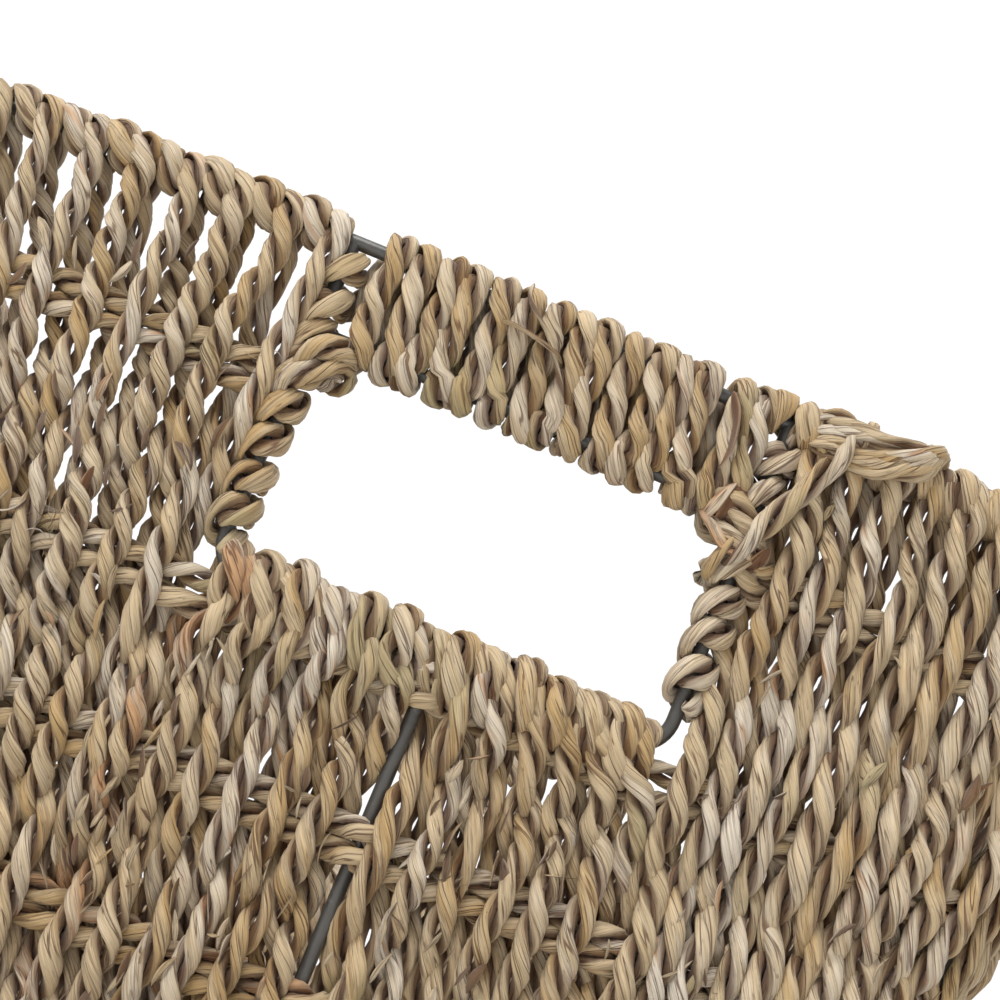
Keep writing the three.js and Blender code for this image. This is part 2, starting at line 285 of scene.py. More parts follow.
class CordMesh:
    """Gathers cords into one mesh: each is two closed plies twisted round each other to the left."""

    def __init__(self, seed: int) -> None:
        """Starts an empty mesh with its own run of chance."""
        self.rng = np.random.default_rng(seed)
        self.browned = 0.03
        self.points: list[Array] = []
        self.quads: list[Array] = []
        self.caps: list[Array] = []
        self.quad_uvs: list[Array] = []
        self.cap_uvs: list[Array] = []
        self.strands: list[Array] = []
        self.count = 0

    def add(
        self,
        points: Array,
        facing: Array,
        kind: CordKind,
        flat: Array | float = 1.0,
        lay: float = 1.0,
        thick: float = 1.0,
    ) -> None:
        """Adds one cord.

        Args:
            points: The cord's middle, closely spaced.
            facing: The direction the cord is flattened in, at each point.
            kind: The cord's section and how finely it is modelled.
            flat: How much thinner it is that way, at each point.
            lay: Its lay over the usual one.
            thick: Its thickness over the usual one.
        """
        steps = np.linalg.norm(np.diff(points, axis=0), axis=1)
        length = np.concatenate([[0.0], np.cumsum(steps)])
        count = max(4, int(round(length[-1] / kind.step)) + 1)
        at = np.linspace(0, length[-1], count)
        middle = np.column_stack([np.interp(at, length, points[:, k]) for k in range(3)])
        faced = np.column_stack([np.interp(at, length, facing[:, k]) for k in range(3)])
        squash = np.interp(at, length, np.broadcast_to(flat, length.shape))
        along = np.gradient(middle, axis=0)
        along /= np.linalg.norm(along, axis=1, keepdims=True)
        faced -= along * np.sum(faced * along, axis=1, keepdims=True)
        faced /= np.linalg.norm(faced, axis=1, keepdims=True)
        across = np.cross(along, faced)
        turn = wander(at, self.rng, *PLY.turn_drift) - 2 * math.pi * at / (kind.lay * lay)
        turn += self.rng.uniform(0, 2 * math.pi)
        for ply in range(kind.plies):
            self._add_ply(at, middle, faced, across, turn + ply * math.pi, squash, kind, thick)

    def _add_ply(
        self,
        at: Array,
        middle: Array,
        faced: Array,
        across: Array,
        turn: Array,
        squash: Array,
        kind: CordKind,
        thick: float,
    ) -> None:
        """Adds one ply: a folded strip of grass, ridged lengthwise and drawn to a point at its ends."""
        rng = self.rng
        sides = kind.sides
        around = math.pi + 2 * math.pi * np.arange(sides) / sides
        ridge = self._folded(at, around, kind)
        girth = thick * (1 + wander(at, rng, *PLY.girth_drift)) * (1 + rng.normal(0, PLY.girth_spread))
        tip = np.minimum(at, at[-1] - at)
        point = PLY.tip + (1 - PLY.tip) * np.sqrt(np.clip(tip / PLY.tip_length, 0, 1))
        size = (girth * point)[:, None]
        apart = kind.offset * thick * point * (1 + wander(at, rng, *PLY.apart_drift))
        outward = apart[:, None] + kind.depth * ridge * size * np.cos(around)
        sideways = kind.width * ridge * size * np.sin(around)
        cos, sin = np.cos(turn)[:, None], np.sin(turn)[:, None]
        out = (cos * outward - sin * sideways) * squash[:, None]
        over = (sin * outward + cos * sideways) * (1 + PLY.bulge * (1 - squash[:, None]))
        ring = middle[:, None] + out[..., None] * faced[:, None] + over[..., None] * across[:, None]
        rows, columns = np.arange(len(at) - 1)[:, None], np.arange(sides)[None, :]
        beside = (columns + 1) % sides
        first = self.count + rows * sides
        after = first + sides
        quad = np.stack([first + columns, first + beside, after + beside, after + columns], -1)
        u = at[:, None] / 100.0 + rng.uniform(0, 50)
        v = np.arange(sides + 1)[None, :] / sides
        low, high = u[:-1] + 0 * v[:, :-1], u[1:] + 0 * v[:, :-1]
        left, right = v[:, :-1] + 0 * low, v[:, 1:] + 0 * low
        uv = np.stack([low, left, low, right, high, right, high, left], -1)
        self.points.append(ring.reshape(-1, 3))
        self.quads.append(quad.reshape(-1, 4))
        self.quad_uvs.append(uv.reshape(-1, 2))
        last = self.count + (len(at) - 1) * sides
        start_cap = self.count + np.arange(sides)[::-1]
        self.caps += [start_cap, last + np.arange(sides)]
        self.cap_uvs.append(np.column_stack([np.full(sides, u[0, 0]), v[0, :-1]]))
        self.cap_uvs.append(np.column_stack([np.full(sides, u[-1, 0]), v[0, :-1]]))
        tone = BROWNED if rng.uniform() < self.browned else rng.uniform()
        self.strands.append(np.full(len(at) * sides, tone))
        self.count += len(at) * sides

    def _folded(self, at: Array, around: Array, kind: CordKind) -> Array:
        """How far a ply's surface stands out along and around it: lumps, and folds between blades."""
        rng = self.rng
        shape = np.abs(np.cos(around)) ** PLY.pointed + np.abs(np.sin(around)) ** PLY.pointed
        ridge = np.tile(shape ** (-1 / PLY.pointed), (len(at), 1))
        for lobes, size in PLY.lobes:
            drift = wander(at, rng, *PLY.lobe_drift)[:, None] + rng.uniform(0, 2 * math.pi)
            ridge += size * np.sin(lobes * around[None, :] + drift)
        for _ in range(kind.folds):
            place = rng.uniform(0, 2 * math.pi) + wander(at, rng, *PLY.fold_drift)
            apart = np.angle(np.exp(1j * (around[None, :] - place[:, None])))
            ridge -= PLY.fold_depth * rng.uniform(0.6, 1.2) * np.exp(-((apart / PLY.fold_width) ** 2))
        return ridge

    def add_on(
        self,
        wall: Wall,
        route: Array,
        facing: Array,
        kind: CordKind,
        flat: Array | float = 1.0,
        lay: float = 1.0,
        thick: float = 1.0,
    ) -> None:
        """Adds one cord along a route on the wall, faced by directions given as along, out and up."""
        self.add(wall.place(route), wall.turn(route[:, 0], facing), kind, flat, lay, thick)

    def build(self, name: str, material: Material, slot: Slot, nodes: list[str]) -> Piece:
        """Makes the mesh and puts it on the frame.

        Args:
            name: The piece's name.
            material: Its finish.
            slot: The record's slot that the finish belongs to; not used.
            nodes: The CAD nodes it stands for.

        Returns:
            The finished object.
        """
        quads = np.concatenate(self.quads)
        caps = np.concatenate(self.caps)
        sizes = np.concatenate([np.full(len(quads), 4), [len(cap) for cap in self.caps]])
        mesh = bpy.data.meshes.new(name)
        points = np.concatenate(self.points) * METRES
        mesh.vertices.add(len(points))
        mesh.vertices.foreach_set("co", points.ravel())
        mesh.loops.add(quads.size + caps.size)
        mesh.loops.foreach_set("vertex_index", np.concatenate([quads.ravel(), caps]).astype(np.int32))
        mesh.polygons.add(len(sizes))
        starts = np.concatenate([[0], np.cumsum(sizes)[:-1]])
        mesh.polygons.foreach_set("loop_start", starts.astype(np.int32))
        uvs = mesh.uv_layers.new(name="ply")
        uvs.data.foreach_set("uv", np.concatenate(self.quad_uvs + self.cap_uvs).astype(np.float32).ravel())
        strand = mesh.attributes.new("strand", "FLOAT", "POINT")
        strand.data.foreach_set("value", np.concatenate(self.strands).astype(np.float32))
        mesh.update(calc_edges=True)
        mesh.validate()
        mesh.shade_smooth()
        mesh.materials.append(material)
        piece = bpy.data.objects.new(name, mesh)
        bpy.context.scene.collection.objects.link(piece)
        return on_frame(piece, slot, nodes)


def on_frame(piece: Piece, slot: Slot, nodes: list[str]) -> Piece:
    """Fixes a piece to the frame and hides the CAD nodes it stands for."""
    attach(piece, "root")
    if nodes:
        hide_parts(*nodes)
    LOG.info("%s: %d faces", piece.name, len(piece.data.polygons))
    return piece


@dataclass(frozen=True)
class WeaveSize:
    """How the walls are woven, in millimetres.

    wound is how thin a cord is where it is pressed on a wire, over its thickness where it hangs free. A turn
    is its radius out of the wall, with the one upwards where they differ. A drift is a period and a size.
    """

    pair: float = 14.2
    rows: tuple[float, ...] = (200.0, 140.0, 96.0, 52.0)
    row_gap: float = 3.4
    row_swing: float = 1.0
    row_hold: float = 0.5
    row_out_drift: Two = (60.0, 0.25)
    row_up_drift: Two = (130.0, 0.55)
    row_stop: float = 6.0
    row_lap: float = 20.0
    swing: float = 4.7
    swing_spread: float = 0.05
    hold: float = 5.0
    out_drift: Two = (70.0, 0.5)
    along_drift: Two = (110.0, 1.5)
    over_post: float = 4.3
    post_space: float = 3.5
    corner_space: float = 1.2
    handle_space: float = 5.2
    handle_lean: float = 4.2
    handle_lean_rise: float = 30.0
    lower_inset: float = 4.0
    lower_spread: float = 4.6
    lower_spread_drop: float = 16.0
    wire_inset: float = 4.0
    wound: float = 0.66
    pressed: float = 12.0
    rim_turn: float = 4.3
    base_turn: float = 4.6
    lower_turn: Two = (5.3, 8.2)
    lower_drop: float = 2.1


@dataclass(frozen=True)
class Hand:
    """How a stretch is worked, each over the usual: lay and thickness of the cord, and space for a pair.

    gather is how much of half a pair's space the inner upright is drawn towards the next pair at the top, and
    proud is how much further out the second turn over the top wire stands than the first.
    """

    lay: float = 1.05
    thick: float = 1.03
    space: float = 1.0
    gather: float = 1.0
    proud: float = 0.2


LOWER_HAND = Hand(lay=1.05, thick=1.05, space=0.8, gather=0.8, proud=0.33)
HANDS = {
    "front_right": Hand(lay=0.93, thick=1.1, gather=0.8),
    "front_left": Hand(lay=1.25, thick=1.2, space=0.84, gather=-0.35),
    "left_front": Hand(lay=1.2, thick=1.12, space=0.95, gather=0.3),
    "front_lower_left": Hand(lay=1.2, thick=1.1, space=0.8, gather=0.5, proud=0.33),
    "front_lower_right": Hand(lay=1.1, thick=1.1, space=0.8, gather=0.5, proud=0.33),
}


@dataclass(frozen=True)
class Stretch:
    """A length of wall between two upright wires, whose edges may lean.

    base is the length along the outline of the end's middle that it is measured from, sign is 1 where it lies
    further along the outline than that, and kind is side, end or lower.
    """

    name: str
    base: float
    sign: int
    kind: str

    def edges(self, wall: Wall, weave: WeaveSize, z: Array) -> tuple[Array, Array]:
        """Lengths along the outline of its two edges at a height, the smaller first."""
        size = wall.size
        z = np.asarray(z, dtype=float)
        if self.kind == "side":
            near = np.full_like(z, wall.corner_post + weave.corner_space)
            far = np.full_like(z, wall.quarter - weave.post_space)
        elif self.kind == "end":
            lean = smooth((z - weave.rows[0] - weave.wire_inset) / weave.handle_lean_rise)
            near = wall.length_at(size.half_handle + weave.handle_space - weave.handle_lean * lean, z)
            far = np.full_like(z, wall.corner_post - weave.corner_space)
        else:
            near = wall.length_at(weave.post_space, z)
            inside = size.half_handle - weave.lower_inset
            widened = smooth((size.lower_z - weave.wire_inset - z) / weave.lower_spread_drop)
            outer = inside + (size.half_handle + weave.lower_spread - inside) * widened
            far = wall.length_at(outer, z)
        if self.sign > 0:
            return self.base + near, self.base + far
        return self.base - far, self.base - near

    @property
    def under_handle(self) -> bool:
        """Whether it hangs from a handle's lower wire."""
        return self.kind == "lower"


class Weaver:
    """Weaves one stretch: pairs of uprights that hang over the top wire and turn round the base wire."""

    def __init__(self, wall: Wall, weave: WeaveSize, stretch: Stretch, kind: CordKind, seed: int) -> None:
        """Lays the stretch out: how many pairs it has and which rows cross it."""
        self.hand = HANDS.get(stretch.name, LOWER_HAND if stretch.under_handle else Hand())
        self.wall = wall
        self.weave = weave
        self.stretch = stretch
        self.kind = kind
        self.mesh = CordMesh(seed)
        size = wall.size
        self.first_row = 1 if stretch.under_handle else 0
        if stretch.under_handle:
            self.top_z = size.lower_z - weave.lower_drop
            self.turn = weave.lower_turn
        else:
            self.top_z = size.rim_z
            self.turn = (weave.rim_turn, weave.rim_turn)
        start, end = stretch.edges(wall, weave, np.array(self.top_z))
        self.pairs = max(1, round(float(end - start) / (weave.pair * self.hand.space)))
        self.pitch = float(end - start) / self.pairs

    def column(self, index: float, z: Array) -> Array:
        """The length along the outline of an upright's middle at a height."""
        start, end = self.stretch.edges(self.wall, self.weave, z)
        return start + (end - start) * (index + 0.5) / (2 * self.pairs)

    def side_of(self, index: int, row: int) -> int:
        """1 where an upright passes outside a row and -1 where it passes inside."""
        return 1 if (index + row - self.first_row) % 2 == 0 else -1

    def _knots(self, index: int) -> list[Two]:
        """Heights from the base up, with how far out the upright is at each."""
        weave = self.weave
        rng = self.mesh.rng
        rows = list(range(self.first_row, len(weave.rows)))
        if self.stretch.under_handle:
            rows = rows[1:]
        base_side = self.side_of(index, len(weave.rows))
        knots = [(self.wall.size.base_z, base_side * weave.base_turn)]
        for row in reversed(rows):
            out = weave.swing * (1 + rng.normal(0, weave.swing_spread))
            knots.append((weave.rows[row], self.side_of(index, row) * out))
        knots.append((self.top_z, self.turn[0] * (1 if index % 2 == 0 else -1)))
        return knots

    def _upright(self, index: int) -> tuple[Array, Array]:
        """Rows of length, distance out and height from the base wire's middle to the top wire's."""
        rng, weave = self.mesh.rng, self.weave
        size = self.wall.size
        z = np.linspace(size.base_z, self.top_z, int(self.top_z - size.base_z))
        out = between(z, self._knots(index), weave.hold) + wander(z, rng, *weave.out_drift)
        drift = wander(z, rng, *weave.along_drift)
        ends = smooth((z - size.base_z) / 15.0) * smooth((self.top_z - z) / 20.0)
        column = self.column(index, z) + drift * ends
        if index % 2 == 1:
            first = weave.rows[self.first_row + (1 if self.stretch.under_handle else 0)]
            drawn = 0.5 * self.pitch * self.hand.gather
            column += drawn * smooth((z - first) / (0.85 * (self.top_z - first)))
        return np.column_stack([column, out, z])

    def _arc(self, start: float, end: float, lengths: Two, middle: float, turn: Two) -> Array:
        """Part of a turn round a wire, from one angle to another, as length, distance out, height, angle."""
        count = max(6, int(abs(end - start) / math.radians(9)))
        angle = np.linspace(start, end, count)
        length = np.linspace(lengths[0], lengths[1], count)
        return np.column_stack([length, turn[0] * np.cos(angle), middle + turn[1] * np.sin(angle), angle])

    def _base_turn(self, index: int, length: float) -> Array:
        """From an upright's foot, under the base wire and up the other side."""
        weave = self.weave
        side = self.side_of(index, len(weave.rows))
        start = 0.0 if side > 0 else math.pi
        reach = -side * math.radians(self.mesh.rng.uniform(235, 290))
        lengths = (length, length + 2.4)
        turn = (weave.base_turn, weave.base_turn)
        return self._arc(start, start + reach, lengths, self.wall.size.base_z, turn)

    def add_pair(self, pair: int) -> None:
        """One cord: up outside, one and a half turns over the top wire, and down inside."""
        up, down = self._upright(2 * pair), self._upright(2 * pair + 1)[::-1]
        up_length, down_length = up[-1, 0], down[0, 0]
        over = self._arc(0.0, 3 * math.pi, (up_length, down_length), self.top_z, self.turn)
        full_turns = over[:, 3] / (2 * math.pi)
        behind = smooth((full_turns - 1) / 0.5)
        half = self.pitch / 2
        over[:, 0] = up_length + half * np.minimum(full_turns, 1) + (down_length - up_length - half) * behind
        ends = np.minimum(1, 4 * np.minimum(over[:, 3], over[-1, 3] - over[:, 3]))
        # The second turn lies on the first, so it stands further out.
        second = np.exp(-(((full_turns - 1.03) / 0.27) ** 2))
        proud = self.hand.proud * self.mesh.rng.uniform(0.6, 1.4)
        swell = 1 + wander(over[:, 3], self.mesh.rng, 7.0, 0.1) * ends + proud * second
        over[:, 1] *= swell
        over[:, 2] = self.top_z + (over[:, 2] - self.top_z) * swell
        foot = self._base_turn(2 * pair, up[0, 0])[::-1]
        heel = self._base_turn(2 * pair + 1, down[-1, 0])
        up, down = up[1:-1], down[1:-1]
        turned = 3 * math.pi
        parts = (
            (foot[:, :3], foot[:, 3] - foot[-1, 3], self._pressed(foot)),
            (up, np.zeros(len(up)), self._flatness(up[:, 2])),
            (over[:, :3], over[:, 3], self._pressed(over)),
            (down, np.full(len(down), turned), self._flatness(down[:, 2])),
            (heel[:, :3], turned + heel[:, 3] - heel[0, 3], self._pressed(heel)),
        )
        self._lay(*(np.concatenate(column) for column in zip(*parts)))

    def _pressed(self, route: Array) -> Array:
        """How thin a cord is all along a turn round a wire."""
        return np.full(len(route), self.weave.wound)

    def _flatness(self, z: Array) -> Array:
        """How thin an upright is: pressed near its wires and 1 where it hangs free."""
        wound, near = self.weave.wound, self.weave.pressed
        free = smooth((z - self.wall.size.base_z) / near) * smooth((self.top_z - z) / near)
        return wound + (1 - wound) * free

    def _lay(self, route: Array, angle: Array, flat: Array | float) -> None:
        """Adds a cord along a route on the wall, flattened against the way that angle faces."""
        rng = self.mesh.rng
        lay = self.hand.lay * float(np.clip(rng.normal(1, 0.12), 0.8, 1.25))
        thick = self.hand.thick * float(np.clip(rng.normal(1.0, 0.06), 0.88, 1.12))
        self.mesh.add_on(self.wall, route, facing_at(angle), self.kind, flat, lay, thick)

    def add_post_turn(self, length: float) -> None:
        """A turn of cord over the joint of an upright wire and the top wire, beside the stretch."""
        over = self._arc(-0.8 * math.pi, 1.2 * math.pi, (length - 3.0, length + 3.0), self.top_z, self.turn)
        self._lay(over[:, :3], over[:, 3], self.weave.wound)

    def add_post_cord(self, length: float) -> None:
        """A cord from under the base wire up the outside of a corner post and over the rim wire."""
        base, top = self.wall.size.base_z, self.top_z
        radius = self.weave.base_turn
        foot = self._arc(-1.35 * math.pi, 0.0, (length + 2.0, length), base, (radius, radius))
        z = np.arange(base + 1.0, top, 1.0)
        out = radius + (self.turn[0] - radius) * (z - base) / (top - base)
        out += wander(z, self.mesh.rng, 60.0, 0.2)
        up = np.column_stack([np.full_like(z, length), out, z])
        over = self._arc(0.0, 2.8 * math.pi, (length - 1.5, length + 4.0), top, self.turn)
        route = np.concatenate([foot[:, :3], up, over[:, :3]])
        angle = np.concatenate([foot[:, 3], np.zeros(len(z)), over[:, 3]])
        self._lay(route, angle, 0.8)

    def weave_all(self) -> CordMesh:
        """Every pair of the stretch."""
        for pair in range(self.pairs):
            self.add_pair(pair)
        return self.mesh


class Rows:
    """The pairs of level cords that the uprights cross."""

    def __init__(self, wall: Wall, weave: WeaveSize, weavers: list[Weaver], posts: list[float]) -> None:
        """Keeps what the rows pass: the uprights of every stretch and the upright wires."""
        self.wall = wall
        self.weave = weave
        self.weavers = weavers
        self.posts = posts

    def _crossings(self, row: int) -> list[Two]:
        """Lengths along the outline in rising order, with how far out the row passes there."""
        weave = self.weave
        z = np.array(weave.rows[row])
        around = self.wall.around
        knots = []
        for weaver in self.weavers:
            if row < weaver.first_row:
                continue
            covered = weaver.stretch.under_handle and row == 1
            for index in range(2 * weaver.pairs):
                out = 0.0 if covered else -weaver.side_of(index, row) * weave.row_swing
                knots.append((float(weaver.column(index, z)) % around, out))
        ends = (0.0, self.wall.half)
        for post in self.posts:
            corner = not math.isclose(math.remainder(post, self.wall.quarter), 0.0, abs_tol=1e-6)
            if row > 0 or post not in ends:
                knots.append((post % around, -weave.over_post if corner else weave.over_post))
        return sorted(knots)

    def build(self, row: int, kind: CordKind, seed: int, material: Material) -> Piece:
        """Makes one row: two cords, whole or broken at the handles."""
        mesh = CordMesh(seed)
        knots = self._crossings(row)
        around = self.wall.around
        knots = [(knots[-1][0] - around, knots[-1][1])] + knots + [(knots[0][0] + around, knots[0][1])]
        if row == 0:
            handle = float(self.wall.length_at(self.wall.size.half_handle, np.array(self.weave.rows[row])))
            half = self.wall.half
            runs = [(handle, half - handle), (half + handle, around - handle)]
        else:
            seam = self.wall.quarter + 12.0
            runs = [(seam, seam + around + self.weave.row_lap)]
        for run in runs:
            for side in (-1, 1):
                self._add_run(mesh, knots, row, run, side, kind)
        return mesh.build(f"row_{row + 1}", material, Slot.WEAVE, [])

    def _add_run(
        self, mesh: CordMesh, knots: list[Two], row: int, run: Two, side: int, kind: CordKind
    ) -> None:
        """Adds one cord of a row, looped round the handle's side wires where it stops at them."""
        weave = self.weave
        rng = mesh.rng
        stop = weave.row_stop if row == 0 else 0.0
        length = np.arange(run[0] + stop, run[1] - stop, 1.0)
        out = between(np.mod(length, self.wall.around), knots, weave.row_hold)
        out += wander(length, rng, *weave.row_out_drift)
        z = weave.rows[row] + side * weave.row_gap + wander(length, rng, *weave.row_up_drift)
        if row > 0:
            out -= 5.0 * smooth((length - run[1] + 28.0) / 10.0)
        route = np.column_stack([length, out, z])
        if row == 0:
            first, last = self._tail(route[0], -1, side), self._tail(route[-1], 1, side)
            route = np.vstack([first[::-1], route, last])
        mesh.add_on(self.wall, route, facing_at(np.zeros(len(route))), kind, 0.92, float(rng.normal(1, 0.05)))

    def _tail(self, start: Array, way: int, side: int) -> Array:
        """Where a cord of a row goes on at a handle: over its side wire and round the end of the bar."""
        rise = self.wall.size.bar_z - self.weave.rows[0] - (3.5 if way > 0 else 6.5)
        knots = [
            (0.0, start[1], start[2]),
            (5.0, 4.0, start[2] + 0.35 * rise),
            (9.0, 6.2, start[2] + 0.65 * rise),
            (16.0, 4.8 + side, start[2] + 1.05 * rise - side),
            (19.0, 0.5, start[2] + 1.1 * rise - 1.5 * side),
            (18.0, -4.6, start[2] + rise - side),
            (11.0, -5.0, start[2] + 0.85 * rise),
        ]
        route = curved(np.array(knots), 8)
        route[:, 0] = start[0] + way * route[:, 0]
        return route[1:]


@dataclass(frozen=True)
class HandleSize:
    """How a handle is wound, in millimetres.

    A radius is the cord's middle from the wire's. The side wires are wound up to below the rim wire, from
    just above the lower wire or, on one side, from above its bend, which stays bare.
    """

    grip_radius: float = 4.5
    grip_turns: int = 15
    grip_inset: float = 5.5
    grip_waist: float = 0.12
    grip_loose: float = 0.7
    side_radius: float = 4.7
    side_pitch: float = 10.2
    side_low: float = 4.5
    side_bare: float = 2.5
    side_top: float = 6.0


class Handle:
    """One handle: the grip and the windings of its side wires."""

    def __init__(self, wall: Wall, wound: HandleSize, base: float, name: str, sides: tuple[str, str]) -> None:
        """Places it at an end.

        Args:
            wall: The wall it is in.
            wound: How the cord is wound.
            base: The length along the outline of the end's middle.
            name: The end's name.
            sides: The names of the sides before and after the middle.
        """
        self.wall = wall
        self.wound = wound
        self.base = base
        self.name = name
        self.sides = sides

    def _length(self, width: Array, z: Array) -> Array:
        """The length along the outline at a width from the handle's middle."""
        narrowed = self.wall.narrowing(z)[..., 1]
        return self.base + self.wall.size.end_bow * np.arcsin(width / narrowed / self.wall.size.end_bow)

    def grip(self, kind: CordKind, seed: int, material: Material) -> Piece:
        """Cord wound round the rim wire and the bar together."""
        size, wound = self.wall.size, self.wound
        mesh = CordMesh(seed)
        radius, turns = wound.grip_radius, wound.grip_turns
        reach = size.half_handle - wound.grip_inset
        straight = size.rim_z - size.bar_z
        lap = 2 * straight + 2 * math.pi * radius
        at = np.arange(0, lap * (turns - 0.25), 0.8)
        within = np.mod(at, lap)
        over = (within - straight) / radius
        under = (within - 2 * straight - math.pi * radius) / radius
        angle = np.clip(over, 0, math.pi) + np.clip(under, 0, math.pi)
        up = within < straight
        down = (over > math.pi) & (under < 0)
        z = np.where(angle <= math.pi, size.rim_z, size.bar_z) + radius * np.sin(angle)
        z = np.where(up, size.bar_z + within, z)
        z = np.where(down, size.rim_z - (within - straight - math.pi * radius), z)
        out = radius * np.cos(angle)
        turn = np.floor(at / lap)
        slant = smooth((within / lap - 0.35) / 0.5)
        pitch = (2 * reach - 3.0) / turns
        loose = np.interp(turn, np.arange(turns + 1), mesh.rng.normal(0, wound.grip_loose, turns + 1))
        width = -reach + pitch * (turn + 0.4 + slant) + loose + wander(at, mesh.rng, 60.0, 0.5)
        waist = np.sin(math.pi * np.clip((z - size.bar_z) / straight, 0, 1))
        out *= 1 - wound.grip_waist * waist
        route = np.column_stack([self._length(width, z), out, z])
        mesh.add_on(self.wall, route, facing_at(angle), kind, 0.72 + 0.18 * waist, 1.05, 1.1)
        return mesh.build(f"grip_{self.name}_cord", material, Slot.BINDING, [f"grip_{self.name}"])

    def side_winding(self, which: int, kind: CordKind, seed: int, material: Material) -> Piece:
        """Cord wound up one of the handle's side wires."""
        size, wound = self.wall.size, self.wound
        mesh = CordMesh(seed)
        bottom = size.lower_z + (wound.side_low if which else size.handle_bend + wound.side_bare)
        top = size.rim_z - wound.side_top
        turns = (top - bottom) / wound.side_pitch
        angle = np.linspace(0, 2 * math.pi * turns, int(turns * 48))
        z = bottom + (top - bottom) * angle / angle[-1] + wander(angle, mesh.rng, 15.0, 0.9)
        radius = wound.side_radius + wander(angle, mesh.rng, 9.0, 0.5)
        width = size.half_handle if which else -size.half_handle
        length = self._length(width, z) - radius * np.sin(angle)
        route = np.column_stack([length, radius * np.cos(angle), z])
        facing = np.column_stack([-np.sin(angle), np.cos(angle), np.zeros_like(angle)])
        mesh.add_on(self.wall, route, facing, kind, 0.62, 0.85, 1.22)
        name = f"side_binding_{self.name}_{self.sides[which]}"
        return mesh.build(f"{name}_cord", material, Slot.BINDING, [name])


@dataclass(frozen=True)
class BaseSize:
    """How the base is woven: places of the rows over its half width, and the rest in millimetres."""

    rows: tuple[float, ...] = (0.16, 0.48, 0.8)
    pitch: float = 6.6
    inset: float = 8.0
    step: float = 1.5
    swing: float = 3.6
    edge_swing: float = 2.0
    row_swing: float = 0.9
    hold: float = 4.0


class BaseWeave:
    """The base: cords across it, over and under pairs of cords that run its length."""

    def __init__(self, wall: Wall, weave: WeaveSize, woven: BaseSize) -> None:
        """Works out the base wire's ring."""
        self.wall = wall
        self.weave = weave
        self.woven = woven
        length = np.linspace(0, wall.around, 720, endpoint=False)
        z = np.full_like(length, wall.size.base_z)
        self.ring = wall.place(np.column_stack([length, np.zeros_like(length), z]))

    def _reach(self, axis: int, at: float) -> float:
        """How far the base wire is from the middle along the other axis."""
        front = self.ring[(self.ring[:, axis] > 0) & (self.ring[:, 1 - axis] > 0)]
        order = np.argsort(front[:, axis])
        return float(np.interp(abs(at), front[order, axis], front[order, 1 - axis]))

    def build(self, kind: CordKind, seed: int, material: Material) -> list[Piece]:
        """Makes the cords across the base and the rows along it."""
        size = self.wall.size
        half_x, half_y = size.half_length - size.taper, size.half_width - size.taper
        rows = sorted(side * half_y * share for share in self.woven.rows for side in (-1, 1))
        half_x -= self.woven.inset
        columns = int(2 * half_x / self.woven.pitch)
        across, along = CordMesh(seed), CordMesh(seed + 1)
        for index in range(columns):
            x = (index + 0.5 - columns / 2) * 2 * half_x / columns
            self._add_across(across, x, index, rows, kind)
        for row, y in enumerate(rows):
            for side in (-1, 1):
                course = (-1) ** row, columns, half_x
                self._add_along(along, y + side * self.weave.row_gap, course, kind)
        nodes = [f"base_weave_{end}_{side}" for end in ("front", "back") for side in ("left", "right")]
        return [
            across.build("base_cords", material, Slot.WEAVE, nodes),
            along.build("base_rows", material, Slot.WEAVE, []),
        ]

    def _add_across(self, mesh: CordMesh, x: float, index: int, rows: list[float], kind: CordKind) -> None:
        """Adds a cord from side to side, over and under the rows."""
        woven = self.woven
        reach = self._reach(0, x) - woven.inset
        y = np.arange(-reach, reach, woven.step)
        side = 1 if index % 2 == 0 else -1
        crossed = [(i, row) for i, row in enumerate(rows) if abs(row) < reach - woven.inset]
        inside = [(row, side * (-1) ** i * woven.swing) for i, row in crossed]
        knots = [(-reach - 1, side * woven.edge_swing)] + inside + [(reach + 1, -side * woven.edge_swing)]
        z = self.wall.size.base_z + between(y, knots, woven.hold)
        points = np.column_stack([x + wander(y, mesh.rng, 90.0, 0.5), y, z])
        mesh.add(points, self._upward(y), kind, 0.85, float(mesh.rng.normal(1, 0.08)), 0.98)

    def _add_along(self, mesh: CordMesh, y: float, course: tuple[int, int, float], kind: CordKind) -> None:
        """Adds a cord from end to end.

        Args:
            mesh: What it is added to.
            y: Where it lies.
            course: Which way it starts, how many cords it crosses and how far out the last of them lies.
            kind: Its section.
        """
        way, columns, half_x = course
        reach = self._reach(1, y) - self.woven.inset
        x = np.arange(-reach, reach, self.woven.step)
        column = (x / (2 * half_x) + 0.5) * columns - 0.5
        z = self.wall.size.base_z - self.woven.row_swing * np.cos(math.pi * column) * way
        points = np.column_stack([x, y + wander(x, mesh.rng, 90.0, 0.4), z])
        mesh.add(points, self._upward(x), kind, 0.85, 1.0, 0.95)

    def _upward(self, at: Array) -> Array:
        """The upward direction, once for each place."""
        return np.tile([0.0, 0.0, 1.0], (len(at), 1))


